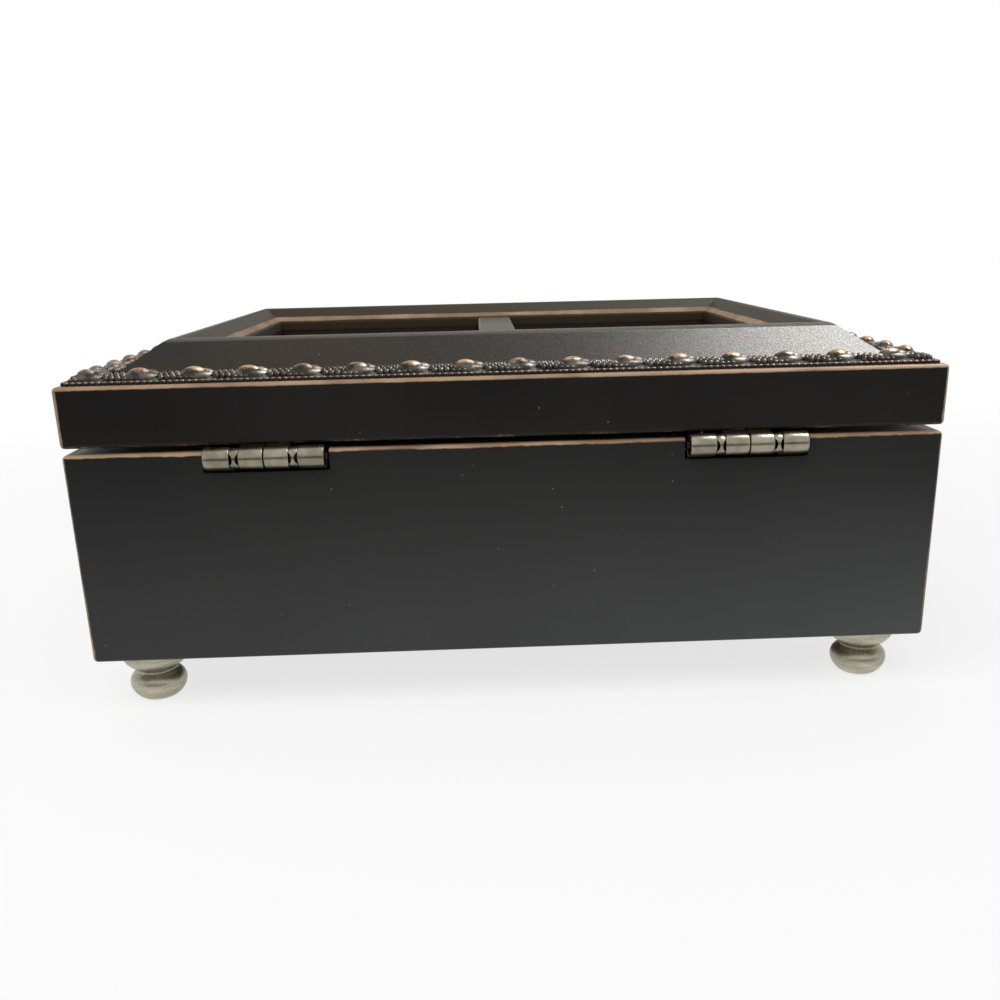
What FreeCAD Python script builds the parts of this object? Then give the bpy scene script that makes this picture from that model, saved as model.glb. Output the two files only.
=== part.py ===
import FreeCAD, Part
import math
import os
import re
import Sketcher

# A keepsake music box, in millimetres. +X runs along the hinge line, +Y points to the hinged
# back and +Z is up. The origin is on the table, under the middle of the whole box, hinges included.

V = FreeCAD.Vector
doc = FreeCAD.newDocument("music_box")

# Driving dimensions, in millimetres unless a name ends in _deg or counts something.
SIZES = {
    # The case: mitred walls round a rebated bottom panel
    "case_width": 240,
    "case_depth": 190,
    "case_height": 60,
    "wall": 11,
    "edge_round": 2.4,
    "panel_inset": 5,
    "panel_thick": 8,
    # Turned feet
    "foot_height": 16,
    "foot_inset": 13.5,
    "flange_radius": 10,
    "flange_edge": 1.2,
    "flange_swell": 0.9,
    "neck_radius": 6,
    "neck_low": 8.2,
    "neck_high": 9.6,
    "sole_radius": 4.4,
    "ball_swell": 3,
    "stud_radius": 2,
    "stud_in_foot": 9,
    "stud_in_panel": 6.5,
    # Lining, dividers and cushions
    "lining": 1.5,
    "lining_drop": 6,
    "floor_lining": 2,
    "divider": 3,
    "divider_height": 34,
    "movement_bay_width": 68,
    "movement_bay_depth": 52,
    "tray_width": 94,
    "roll_count": 7,
    "roll_gap": 1.25,
    "roll_base": 9,
    "soft_gap": 0.4,
    "cover_thick": 3,
    "finger_radius": 9,
    "finger_in": 3,
    "wire_air": 0.7,
    # Stop hinges
    "hinge_inset": 54.5,
    "hinge_offset": 1,
    "barrel_radius": 3.05,
    "outer_barrel": 7.1,
    "inner_barrel": 6.6,
    "stop_gap": 2.35,
    "barrel_seam": 0.2,
    "pin_radius": 1.2,
    "pin_end": 0.7,
    "leaf_thick": 1,
    "leaf_depth": 10.5,
    "leaf_air": 0.3,
    "joint_lap": 0.5,
    "notch_play": 0.9,
    "lid_gap": 2.4,
    "lid_swing_deg": 95,
    "stop_edge_deg": 45,
    "stop_lug_deg": 90,
    "stop_slack_deg": 0.5,
    "lug_air": 0.15,
    "leaf_screw_head": 2.1,
    "leaf_screw_shank": 1.1,
    "leaf_screw_length": 9,
    "leaf_screw_spread": 20,
    "leaf_screw_inset": 5,
    "bumper_radius": 4,
    # The lid moulding, measured in from the outer face and up from the underside
    "rim_height": 15.8,
    "rim_round": 1.6,
    "trim_seat": 13,
    "slope_foot": 17.4,
    "shoulder_in": 24.1,
    "shoulder_up": 25.2,
    "shoulder_swell": 0.25,
    "crest_in": 25.6,
    "crest_width": 1.2,
    "lid_top": 25.7,
    "sight_in": 33,
    "sight_up": 20.5,
    "glass_up": 17,
    "rebate_in": 31,
    "ledge_up": 11.4,
    "recess_in": 22,
    "mullion_width": 13,
    "mullion_bevel": 0.8,
    "glass_thick": 2,
    "card_thick": 0.4,
    "board_thick": 3,
    "pane_play": 0.3,
    # Turn buttons that hold the backing board
    "button_length": 17,
    "button_width": 7,
    "button_thick": 1.2,
    "pivot_radius": 1.4,
    "pivot_head": 2.4,
    "pivot_head_thick": 0.8,
    "pivot_length": 8,
    # The applied trim: a low strip with pointed ovals on it
    "trim_start": 2.2,
    "trim_edge": 0.8,
    "trim_crown": 0.7,
    "trim_joint": 0.1,
    "oval_pitch": 14.6,
    "oval_length": 9.8,
    "oval_swell": 2.2,
    "oval_seat": 1,
    "ovals_clear": 5,
    "back_trim_shift": 2.75,
    # The movement, placed from its drum side corner of the bay
    "movement_in": 32,
    "movement_back": 30,
    "bed_left": 26,
    "bed_right": 32,
    "bed_front": 16,
    "bed_back": 27,
    "bed_thick": 3,
    "cylinder_y": 6,
    "cylinder_start": -1,
    "cylinder_length": 19,
    "cylinder_radius": 6.5,
    "arbor_radius": 1,
    "note_pin_radius": 0.25,
    "note_pin_out": 0.7,
    "pins_per_note": 4,
    "notes": 18,
    "comb_thick": 1,
    "comb_front": 15.5,
    "comb_root": 8,
    "comb_slot": 0.25,
    "comb_gap": 0.2,
    "comb_screw_head": 2,
    "comb_screw_shank": 1,
    "comb_screw_length": 6,
    "comb_screw_spread": 11,
    "running": 0.05,
    "drum_x": -13,
    "drum_radius": 11.3,
    "drum_height": 7,
    "drum_shell": 0.6,
    "spring_thick": 0.35,
    "spring_pitch": 1.2,
    "spring_turns": 5,
    "crown_teeth": 32,
    "crown_mean": 10.05,
    "crown_disc": 1.2,
    "crown_rim": 0.2,
    "crown_air": 0.3,
    "crown_tooth_height": 1.1,
    "crown_tooth_width": 0.6,
    "crown_tooth_length": 1.7,
    "drive_teeth": 14,
    "drive_width": 1.2,
    "gear_teeth": 40,
    "gear_module": 0.4,
    "gear_width": 1.5,
    "gear_gap": 0.3,
    "pinion_teeth": 10,
    "tooth_foot_share": 0.44,
    "tooth_tip_share": 0.2,
    "addendum_share": 0.7,
    "dedendum_share": 1.35,
    "post_thick": 1.3,
    "post_gap": 0.8,
    "post_cap": 2.7,
    "post_lap": 2.3,
    "post_toe": 1.5,
    "worm_wheel_teeth": 20,
    "worm_module": 0.5,
    "worm_wheel_width": 1.5,
    "worm_wheel_gap": 1.9,
    "worm_pitch_radius": 1.5,
    "worm_core": 1,
    "worm_crest": 1.85,
    "worm_turns": 6,
    "worm_low_turns": 3.25,
    "thread_root": 0.8,
    "thread_foot_share": 0.32,
    "thread_crest_share": 0.16,
    "staff_radius": 0.5,
    "governor_staff_radius": 0.6,
    "governor_staff_end": 0.4,
    "fly_radius": 4.2,
    "fly_height": 3,
    "fly_thick": 0.5,
    "fly_collar_radius": 1.2,
    "fly_air": 0.8,
    "frame_arm": 1.2,
    "frame_reach": 5,
    "stop_wire_x": 18.9,
    "stop_wire_y": 25,
    "stop_wire_radius": 0.8,
    "stop_bead_radius": 1.4,
    "stop_bead_height": 2,
    "stop_guide_width": 3.6,
    "stop_guide_height": 10,
    "stop_lift": 4,
    "lid_touch": 0.1,
    # Winding arbor and key, through the bottom panel
    "winding_radius": 2,
    "key_hole_radius": 4,
    "key_hub_radius": 3.6,
    "key_hub_height": 7,
    "key_hub_collar": 2.5,
    "key_wing_span": 22,
    "key_wing_height": 9,
    "key_wing_thick": 2,
    "key_floor_air": 2.5,
    # Screws that hold the movement from below
    "bed_screw_shank": 1.5,
    "bed_screw_head": 2.8,
    "bed_screw_head_thick": 2,
    "bed_screw_sink": 2.4,
    "bed_screw_air": 0.2,
    "bed_screw_inset": 3.5,
}

sheet = doc.addObject("Spreadsheet::Sheet", "Dims")
for row, (alias, number) in enumerate(SIZES.items(), start=1):
    sheet.set(f"A{row}", alias)
    sheet.set(f"B{row}", str(number))
    sheet.setAlias(f"B{row}", alias)
doc.recompute()


def ex(text):
    """The expression with each size's name pointing at its cell."""
    return re.sub(r"[a-z_]+[a-z0-9_]*", lambda m: "Dims." + m[0] if m[0] in SIZES else m[0], text)


def size(text):
    """The number that an expression on the sizes gives."""
    return float(sheet.evalExpression(ex(text)))


# Places that many pieces share, as expressions on the sizes
MID = "(-(hinge_offset + barrel_radius) / 2)"
FRONT = f"({MID} - case_depth / 2)"
BACK = f"({MID} + case_depth / 2)"
CASE_TOP = "(foot_height + case_height)"
PANEL_TOP = "(foot_height + panel_thick)"
FLOOR = f"({PANEL_TOP} + floor_lining)"
LID = f"({CASE_TOP} + lid_gap)"
INNER_X = "(case_width / 2 - wall - lining)"
INNER_FRONT = f"({FRONT} + wall + lining)"
INNER_BACK = f"({BACK} - wall - lining)"
AXIS_Y = f"({BACK} + hinge_offset)"
AXIS_Z = f"({LID} - leaf_thick - barrel_radius)"
NOTCH_FLOOR = f"({AXIS_Z} - barrel_radius - leaf_thick)"
HINGE_X = "(case_width / 2 - hinge_inset)"
HINGE_LENGTH = "(2 * outer_barrel + 2 * stop_gap + 2 * inner_barrel + barrel_seam)"
# A quarter round's swell over its chord, as a share of its radius
QUARTER = 1 - math.sqrt(0.5)
# How far a cutting shape reaches past what it cuts
OVERSHOOT = 1
# Lays an upright shape along +X
TO_X = FreeCAD.Rotation(V(1, 1, 1), 120)

pieces = []


def keep(obj, label):
    """Name a finished sub-part and list it for the files."""
    obj.Label = label
    pieces.append(obj)
    return obj


def place(obj, x="0", y="0", z="0", turn=None):
    """Turn an object, then tie its place to expressions on the sizes."""
    obj.Placement = FreeCAD.Placement(V(0, 0, 0), turn or FreeCAD.Rotation())
    for axis, text in zip("xyz", (x, y, z)):
        obj.setExpression("Placement.Base." + axis, ex(text))
    return obj


def about(axis, degrees):
    """A rotation about one of the row's axes."""
    return FreeCAD.Rotation(V(*[float(axis == name) for name in "xyz"]), degrees)


def box(x0, x1, y0, y1, z0, z1):
    """A box between pairs of expressions."""
    obj = doc.addObject("Part::Box", "box")
    for name, low, high in (("Length", x0, x1), ("Width", y0, y1), ("Height", z0, z1)):
        obj.setExpression(name, ex(f"({high}) - ({low})"))
    return place(obj, x0, y0, z0)


def rod(radius, length, x, y, z, along="z"):
    """A cylinder from a start point along an axis."""
    obj = doc.addObject("Part::Cylinder", "rod")
    obj.setExpression("Radius", ex(radius))
    obj.setExpression("Height", ex(length))
    turn = {"x": TO_X, "y": about("x", -90), "z": None}[along]
    return place(obj, x, y, z, turn)


def cone(low, high, height, x, y, z):
    """A cone from its lower to its upper radius."""
    obj = doc.addObject("Part::Cone", "cone")
    obj.setExpression("Radius1", ex(low))
    obj.setExpression("Radius2", ex(high))
    obj.setExpression("Height", ex(height))
    return place(obj, x, y, z)


def fuse(shapes):
    """One solid from touching shapes."""
    obj = doc.addObject("Part::MultiFuse", "fuse")
    obj.Shapes = shapes
    obj.Refine = True
    return obj


def cut(base, tools):
    """A shape with one or more others taken out of it."""
    obj = doc.addObject("Part::Cut", "cut")
    obj.Base = base
    obj.Tool = tools[0] if len(tools) == 1 else group(tools)
    return obj


def group(shapes):
    """Separate solids that share one file."""
    obj = doc.addObject("Part::Compound", "group")
    obj.Links = shapes
    return obj


def new_body(name):
    """An empty body for sketches and features."""
    return doc.addObject("PartDesign::Body", name)


def origin_part(body, role):
    """One of a body's own planes or axes."""
    return [item for item in body.Origin.OriginFeatures if item.Role == role][0]


def sketch(body, role, offset=("0", "0", "0")):
    """A sketch on one of the body's planes, shifted in its own directions."""
    obj = body.newObject("Sketcher::SketchObject", "outline")
    obj.AttachmentSupport = (origin_part(body, role), "")
    obj.MapMode = "FlatFace"
    for axis, text in zip("xyz", offset):
        obj.setExpression("AttachmentOffset.Base." + axis, ex(text))
    return obj


def draw(target, points):
    """Draw a closed outline; a third entry swells the run to the next point, right of its way."""
    corners = [V(size(point[0]), size(point[1]), 0) for point in points]
    ends = []
    radii = {}
    for index, point in enumerate(points):
        start = corners[index]
        end = corners[(index + 1) % len(points)]
        if len(point) == 2:
            geo = target.addGeometry(Part.LineSegment(start, end), False)
            ends.append((geo, 1, 2))
            continue
        following = points[(index + 1) % len(points)]
        run = f"((({following[0]}) - ({point[0]}))^2 + (({following[1]}) - ({point[1]}))^2)"
        radii[len(ends)] = f"abs({run} / (8 * ({point[2]})) + ({point[2]}) / 2)"
        swell = size(point[2])
        chord = end - start
        side = V(chord.y, -chord.x, 0).normalize()
        middle = start + chord * 0.5 + side * swell
        arc = Part.Arc(start, middle, end)
        geo = target.addGeometry(arc, False)
        first = target.Geometry[geo].StartPoint
        forward = first.distanceToPoint(start) < first.distanceToPoint(end)
        ends.append((geo, 1, 2) if forward else (geo, 2, 1))
    for index, (geo, _, last) in enumerate(ends):
        after, first, _ = ends[(index + 1) % len(ends)]
        target.addConstraint(Sketcher.Constraint("Coincident", geo, last, after, first))
    for index, (geo, first, _) in enumerate(ends):
        for kind, value, text in (
            ("DistanceX", corners[index].x, points[index][0]),
            ("DistanceY", corners[index].y, points[index][1]),
        ):
            tie = target.addConstraint(Sketcher.Constraint(kind, -1, 1, geo, first, value))
            target.setExpression(f"Constraints[{tie}]", ex(text))
        if index in radii:
            radius = size(radii[index])
            tie = target.addConstraint(Sketcher.Constraint("Radius", geo, radius))
            target.setExpression(f"Constraints[{tie}]", ex(radii[index]))
    return target


def draw_circle(target, x, y, radius):
    """Draw one circle, its centre and radius tied to the sizes."""
    centre = V(size(x), size(y), 0)
    geo = target.addGeometry(Part.Circle(centre, V(0, 0, 1), size(radius)), False)
    for kind, value, text in (("DistanceX", centre.x, x), ("DistanceY", centre.y, y)):
        tie = target.addConstraint(Sketcher.Constraint(kind, -1, 1, geo, 3, value))
        target.setExpression(f"Constraints[{tie}]", ex(text))
    tie = target.addConstraint(Sketcher.Constraint("Radius", geo, size(radius)))
    target.setExpression(f"Constraints[{tie}]", ex(radius))
    return target


def pad(body, profile, length, both=False):
    """Extrude a sketch, to one side or evenly to both."""
    obj = body.newObject("PartDesign::Pad", "pad")
    obj.Profile = profile
    obj.SideType = "Symmetric" if both else "One side"
    obj.setExpression("Length", ex(length))
    return obj


def pocket(body, profile, depth=None, upward=False):
    """Cut a sketch out of a body, to a depth or right through both ways."""
    obj = body.newObject("PartDesign::Pocket", "pocket")
    obj.Profile = profile
    if depth is None:
        obj.Type = "ThroughAll"
        obj.SideType = "Symmetric"
    else:
        obj.Reversed = upward
        obj.setExpression("Length", ex(depth))
    return obj


def revolve(body, profile, axis):
    """Spin a sketch a full turn about one of its own axes."""
    obj = body.newObject("PartDesign::Revolution", "turning")
    obj.Profile = profile
    obj.ReferenceAxis = (profile, [axis])
    obj.Angle = 360
    return obj


def row_of(body, feature, direction, length, count):
    """Repeat a feature along a line."""
    obj = body.newObject("PartDesign::LinearPattern", "row")
    obj.Originals = [feature]
    obj.Direction = direction
    obj.setExpression("Length", ex(length))
    obj.setExpression("Occurrences", ex(count))
    body.Tip = obj
    return obj


def ring_of(body, feature, count):
    """Repeat a feature round the body's own Z axis."""
    obj = body.newObject("PartDesign::PolarPattern", "ring")
    obj.Originals = [feature]
    obj.Axis = (origin_part(body, "Z_Axis"), [""])
    obj.Angle = 360
    obj.setExpression("Occurrences", ex(count))
    body.Tip = obj
    return obj


# Mitred rails, shared by the case, the lid and its trim. A rail is drawn as a section in
# its own frame: across the section is how far in from the outer face, up is up.
SIDES = {
    "front": (0, "0", FRONT, "case_width"),
    "right": (90, "case_width / 2", MID, "case_depth"),
    "back": (180, "0", BACK, "case_width"),
    "left": (270, "-case_width / 2", MID, "case_depth"),
}


def rail(name, side, section, deepest, base, dress=None):
    """A length of moulding along one side, dressed if asked, its ends cut at 45 degrees."""
    turn, x, y, length = SIDES[side]
    body = new_body(name)
    pad(body, draw(sketch(body, "YZ_Plane"), section), length, both=True)
    if dress:
        dress(body)
    cuts = sketch(body, "XY_Plane")
    deep = f"({deepest} + {OVERSHOOT})"
    for way in ("", "-"):
        corner = f"{way}({length} / 2 + {OVERSHOOT})"
        draw(cuts, [
            (corner, f"-{OVERSHOOT}"),
            (corner, deep),
            (f"{way}({length} / 2 - {deep})", deep),
        ])
    pocket(body, cuts)
    return place(body, x, y, base, about("z", turn))


def case_wall(side):
    """One wall: rebated for the bottom panel, its top outer edge rounded."""
    section = [
        ("0", "0"),
        ("panel_inset", "0"),
        ("panel_inset", "panel_thick"),
        ("wall", "panel_thick"),
        ("wall", "case_height"),
        ("edge_round", "case_height", f"{QUARTER:.9f} * edge_round"),
        ("0", "case_height - edge_round"),
    ]
    return rail(f"{side}_wall", side, section, "wall", "foot_height")


def cut_hinge_notches(body):
    """Notches through the back wall, with pilot holes for the leaf screws in their floors."""
    depth = f"({CASE_TOP} - {NOTCH_FLOOR})"
    half = f"({HINGE_LENGTH} / 2 + notch_play)"
    notches = sketch(body, "XY_Plane", ("0", "0", "case_height"))
    pilots = sketch(body, "XY_Plane", ("0", "0", "case_height"))
    for way in ("-", ""):
        centre = f"({way}{HINGE_X})"
        draw(notches, [
            (f"{centre} - {half}", f"-{OVERSHOOT}"),
            (f"{centre} + {half}", f"-{OVERSHOOT}"),
            (f"{centre} + {half}", f"wall + {OVERSHOOT}"),
            (f"{centre} - {half}", f"wall + {OVERSHOOT}"),
        ])
        for hand in ("-", "+"):
            x = f"{centre} {hand} leaf_screw_spread / 2"
            draw_circle(pilots, x, "leaf_screw_inset", "leaf_screw_shank")
    pocket(body, notches, depth)
    pocket(body, pilots, f"{depth} + leaf_screw_length")


for side in SIDES:
    wall_body = case_wall(side)
    if side == "back":
        cut_hinge_notches(wall_body)
    keep(wall_body, f"{side}_wall")


# The movement stands in its bay at the back left; its parts are placed from this point
MOVE_X = f"(-{INNER_X} + movement_in)"
MOVE_Y = f"({INNER_BACK} - movement_back)"
MOVE_Z = PANEL_TOP
DRUM_X = f"({MOVE_X} + drum_x)"
CYL_Y = f"({MOVE_Y} + cylinder_y)"
CROWN_LOW = "(bed_thick + drum_height + crown_air)"
DRIVE_PITCH = "(crown_mean * drive_teeth / crown_teeth)"
ARBOR_UP = f"({CROWN_LOW} + crown_disc + crown_tooth_height / 2 + {DRIVE_PITCH})"
ARBOR_Z = f"({MOVE_Z} + {ARBOR_UP})"
PINS_OUT = "(cylinder_radius + note_pin_out)"
GEAR_X = "(cylinder_start + cylinder_length)"
POST_X = f"({GEAR_X} + gear_width + post_gap)"
CENTRES = "(gear_module * (gear_teeth + pinion_teeth) / 2)"
GOVERNOR_Y = f"(cylinder_y + {CENTRES})"
WORM_WHEEL_X = f"({POST_X} + post_thick + worm_wheel_gap)"
WORM_WHEEL_R = "(worm_module * worm_wheel_teeth / 2)"
WORM_X = f"({WORM_WHEEL_X} + worm_wheel_width / 2)"
WORM_Y = f"({GOVERNOR_Y} + {WORM_WHEEL_R} + worm_pitch_radius)"
FLY_UP = f"({ARBOR_UP} + {WORM_WHEEL_R} + worm_module + fly_air)"
ARM_UP = f"({FLY_UP} + fly_height + fly_air)"
PLATE_X = f"({WORM_X} + frame_reach)"
BED_SCREWS = [
    (f"({MOVE_X} - bed_left + bed_screw_inset)", f"({MOVE_Y} - bed_front + bed_screw_inset)"),
    (f"({MOVE_X} - bed_left + bed_screw_inset)", f"({MOVE_Y} + bed_back - bed_screw_inset)"),
    (f"({MOVE_X} + bed_right - bed_screw_inset)", f"({MOVE_Y} - bed_front + bed_screw_inset)"),
]
FEET = {
    "front_left": ("-(case_width / 2 - foot_inset)", f"{FRONT} + foot_inset"),
    "front_right": ("case_width / 2 - foot_inset", f"{FRONT} + foot_inset"),
    "back_left": ("-(case_width / 2 - foot_inset)", f"{BACK} - foot_inset"),
    "back_right": ("case_width / 2 - foot_inset", f"{BACK} - foot_inset"),
}


def bottom_panel():
    """The panel in the walls' rebate, drilled for feet, movement screws and winding arbor."""
    half = "(case_width / 2 - panel_inset)"
    base = box(
        f"-{half}", half, f"{FRONT} + panel_inset", f"{BACK} - panel_inset",
        "foot_height", PANEL_TOP,
    )
    through = f"panel_thick + {2 * OVERSHOOT}"
    low = f"foot_height - {OVERSHOOT}"
    holes = [rod("key_hole_radius", through, DRUM_X, CYL_Y, low)]
    for x, y in BED_SCREWS:
        holes.append(rod("bed_screw_shank + running", through, x, y, low))
        sink = f"bed_screw_sink + {OVERSHOOT}"
        holes.append(rod("bed_screw_head + bed_screw_air", sink, x, y, low))
    for x, y in FEET.values():
        holes.append(rod("stud_radius + running", f"stud_in_panel + {OVERSHOOT}", x, y, low))
    return cut(base, holes)


def foot(x, y):
    """A turned foot: a flared flange, a neck and a squashed ball, bored for its stud."""
    body = new_body("foot")
    section = [
        ("0", "0"),
        ("sole_radius", "0", "ball_swell"),
        ("neck_radius", "neck_low"),
        ("neck_radius", "neck_high", "flange_swell"),
        ("flange_radius", "foot_height - flange_edge"),
        ("flange_radius", "foot_height"),
        ("0", "foot_height"),
    ]
    revolve(body, draw(sketch(body, "XZ_Plane"), section), "V_Axis")
    hole = sketch(body, "XY_Plane", ("0", "0", "foot_height"))
    pocket(body, draw_circle(hole, "0", "0", "stud_radius + running"), "stud_in_foot")
    return place(body, x, y, "0")


keep(bottom_panel(), "bottom_panel")
for corner, (x, y) in FEET.items():
    keep(foot(x, y), f"foot_{corner}")
studs = [
    rod("stud_radius", "stud_in_foot + stud_in_panel", x, y, "foot_height - stud_in_foot")
    for x, y in FEET.values()
]
keep(group(studs), "foot_studs")
bumper_in = "(wall / 2)"
bumpers = [
    rod(
        "bumper_radius", "lid_gap - lid_touch", f"{way}(case_width / 2 - {bumper_in})",
        f"{FRONT} + {bumper_in}", CASE_TOP,
    )
    for way in ("-", "")
]
keep(group(bumpers), "lid_bumpers")


# Inside of the case: lining boards, dividers, ring cushions and the movement's cover
BAY_X = f"(-{INNER_X} + movement_bay_width)"
BAY_Y = f"({INNER_BACK} - movement_bay_depth)"
TRAY_X = f"({INNER_X} - tray_width)"
DIVIDER_TOP = f"({PANEL_TOP} + divider_height)"


def wall_linings():
    """Four covered boards that stand against the walls."""
    low = PANEL_TOP
    high = f"{CASE_TOP} - lining_drop"
    outer = f"({INNER_X} + lining)"
    boards = [
        box(f"-{outer}", outer, f"{INNER_FRONT} - lining", INNER_FRONT, low, high),
        box(f"-{outer}", outer, INNER_BACK, f"{INNER_BACK} + lining", low, high),
        box(f"-{outer}", f"-{INNER_X}", INNER_FRONT, INNER_BACK, low, high),
        box(INNER_X, outer, INNER_FRONT, INNER_BACK, low, high),
    ]
    return group(boards)


def floor_linings():
    """Covered boards on the floor of the three open compartments."""
    split = f"({BAY_Y} - divider)"
    boards = [
        box(f"-{INNER_X}", f"{TRAY_X} - divider", INNER_FRONT, split, PANEL_TOP, FLOOR),
        box(TRAY_X, INNER_X, INNER_FRONT, split, PANEL_TOP, FLOOR),
        box(f"{BAY_X} + divider", INNER_X, BAY_Y, INNER_BACK, PANEL_TOP, FLOOR),
    ]
    return group(boards)


def ring_rolls():
    """Padded rolls side by side, each with a round back, which grip rings between them."""
    room = f"({TRAY_X} - divider + {INNER_X})"
    pitch = f"({room} / roll_count)"
    radius = f"(({pitch} - roll_gap) / 2)"
    rolls = []
    for index in range(int(size("roll_count"))):
        x = f"(-{INNER_X} + {pitch} * {index + 0.5})"
        low_y = f"{INNER_FRONT} + soft_gap"
        high_y = f"{BAY_Y} - divider - soft_gap"
        low_z = f"{FLOOR} + soft_gap"
        base = box(
            f"{x} - {radius}", f"{x} + {radius}", low_y, high_y, low_z, f"{low_z} + roll_base",
        )
        back = rod(radius, f"({high_y}) - ({low_y})", x, low_y, f"{low_z} + roll_base", "y")
        rolls.append(fuse([base, back]))
    return group(rolls)


def movement_cover():
    """A covered board over the movement's bay, with a finger notch and the stop wire's hole."""
    board = box(
        f"-{INNER_X}", f"{BAY_X} + divider", f"{BAY_Y} - divider", INNER_BACK,
        DIVIDER_TOP, f"{DIVIDER_TOP} + cover_thick",
    )
    deep = f"cover_thick + {2 * OVERSHOOT}"
    low = f"{DIVIDER_TOP} - {OVERSHOOT}"
    finger_x = f"(-{INNER_X} + movement_bay_width / 2)"
    finger_y = f"{BAY_Y} - divider - finger_in"
    finger = rod("finger_radius", deep, finger_x, finger_y, low)
    wire = rod(
        "stop_wire_radius + wire_air", deep,
        f"{MOVE_X} + stop_wire_x", f"{MOVE_Y} + stop_wire_y", low,
    )
    return cut(board, [finger, wire])


def long_divider():
    """The full-width divider, slotted half down for the cross dividers."""
    board = box(
        f"-{INNER_X}", INNER_X, f"{BAY_Y} - divider", BAY_Y, PANEL_TOP, DIVIDER_TOP,
    )
    slot_low = f"{PANEL_TOP} + divider_height / 2"
    bay_slot = box(
        BAY_X, f"{BAY_X} + divider", f"{BAY_Y} - divider - {OVERSHOOT}", f"{BAY_Y} + {OVERSHOOT}",
        slot_low, f"{DIVIDER_TOP} + {OVERSHOOT}",
    )
    tray_slot = box(
        f"{TRAY_X} - divider", TRAY_X, f"{BAY_Y} - divider - {OVERSHOOT}",
        f"{BAY_Y} + {OVERSHOOT}", slot_low, f"{DIVIDER_TOP} + {OVERSHOOT}",
    )
    return cut(board, [bay_slot, tray_slot])


def cross_divider(x, low_y, high_y):
    """A short divider whose lower half is cut away where it crosses the long one."""
    board = box(x, f"{x} + divider", low_y, high_y, PANEL_TOP, DIVIDER_TOP)
    notch = box(
        f"{x} - {OVERSHOOT}", f"{x} + divider + {OVERSHOOT}", f"{BAY_Y} - divider", BAY_Y,
        f"{PANEL_TOP} - {OVERSHOOT}", f"{PANEL_TOP} + divider_height / 2",
    )
    return cut(board, [notch])


keep(wall_linings(), "wall_lining")
keep(floor_linings(), "floor_lining")
keep(long_divider(), "long_divider")
keep(cross_divider(BAY_X, f"{BAY_Y} - divider", INNER_BACK), "movement_divider")
keep(cross_divider(f"({TRAY_X} - divider)", INNER_FRONT, BAY_Y), "tray_divider")
keep(ring_rolls(), "ring_rolls")
keep(movement_cover(), "movement_cover")


# Gears: a root disc with straight-flanked teeth, turned so that a tooth or a gap faces its mate
def gear_sizes(module, teeth):
    """Tip and root radii and the tooth's widths at root and tip, as expressions."""
    pitch = f"({module} * {teeth} / 2)"
    tip = f"({pitch} + addendum_share * {module})"
    root = f"({pitch} - dedendum_share * {module})"
    foot_width = f"({module} * pi * tooth_foot_share)"
    tip_width = f"({module} * pi * tooth_tip_share)"
    return tip, root, foot_width, tip_width


def add_gear(body, start, width, module, teeth, phase):
    """Add a gear to a body whose Z axis is the gear's, from a height, its first tooth at a phase."""
    tip, root, foot_width, tip_width = gear_sizes(module, teeth)
    disc = draw_circle(sketch(body, "XY_Plane", ("0", "0", start)), "0", "0", root)
    pad(body, disc, width)
    tooth = sketch(body, "XY_Plane", ("0", "0", start))
    tooth.AttachmentOffset = FreeCAD.Placement(V(0, 0, 0), about("z", phase))
    draw(tooth, [
        (f"{root} - {foot_width} / 2", f"-{foot_width} / 2"),
        (root, f"-{foot_width} / 2"),
        (tip, f"-{tip_width} / 2"),
        (tip, f"{tip_width} / 2"),
        (root, f"{foot_width} / 2"),
        (f"{root} - {foot_width} / 2", f"{foot_width} / 2"),
    ])
    return ring_of(body, pad(body, tooth, width), teeth)


def bore(body, radius):
    """Drill a body along its own Z axis, right through."""
    return pocket(body, draw_circle(sketch(body, "XY_Plane"), "0", "0", radius))


def bedplate():
    """The cast bed, with the comb's seat and the stop wire's guide standing on it."""
    bed = box(
        f"{MOVE_X} - bed_left", f"{MOVE_X} + bed_right", f"{MOVE_Y} - bed_front",
        f"{MOVE_Y} + bed_back", MOVE_Z, f"{MOVE_Z} + bed_thick",
    )
    seat = box(
        f"{MOVE_X} + cylinder_start", f"{MOVE_X} + {GEAR_X}", f"{MOVE_Y} - bed_front",
        f"{MOVE_Y} - comb_root", MOVE_Z, f"{ARBOR_Z} - comb_thick",
    )
    guide_x = f"({MOVE_X} + stop_wire_x)"
    guide_y = f"({MOVE_Y} + stop_wire_y)"
    half = "(stop_guide_width / 2)"
    guide_top = f"{MOVE_Z} + bed_thick + stop_guide_height"
    guide = box(
        f"{guide_x} - {half}", f"{guide_x} + {half}", f"{guide_y} - {half}",
        f"{MOVE_Y} + bed_back", MOVE_Z, guide_top,
    )
    wire_hole = rod(
        "stop_wire_radius + running", f"stop_guide_height + {OVERSHOOT}", guide_x, guide_y,
        f"{MOVE_Z} + bed_thick",
    )
    staff_hole = rod(
        "staff_radius + running", f"bed_thick / 2 + {OVERSHOOT}", f"{MOVE_X} + {WORM_X}",
        f"{MOVE_Y} + {WORM_Y}", f"{MOVE_Z} + bed_thick / 2",
    )
    arbor_hole = rod(
        "winding_radius + running", f"bed_thick + {2 * OVERSHOOT}", DRUM_X, CYL_Y,
        f"{MOVE_Z} - {OVERSHOOT}",
    )
    holes = [wire_hole, staff_hole, arbor_hole]
    for x, y in BED_SCREWS:
        holes.append(rod("bed_screw_shank", f"bed_thick + {2 * OVERSHOOT}", x, y,
                         f"{MOVE_Z} - {OVERSHOOT}"))
    for x, y in comb_screw_places():
        holes.append(rod("comb_screw_shank", f"comb_screw_length + {OVERSHOOT}", x, y,
                         f"{ARBOR_Z} - comb_thick - comb_screw_length"))
    return cut(fuse([bed, seat, guide]), holes)


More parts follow.
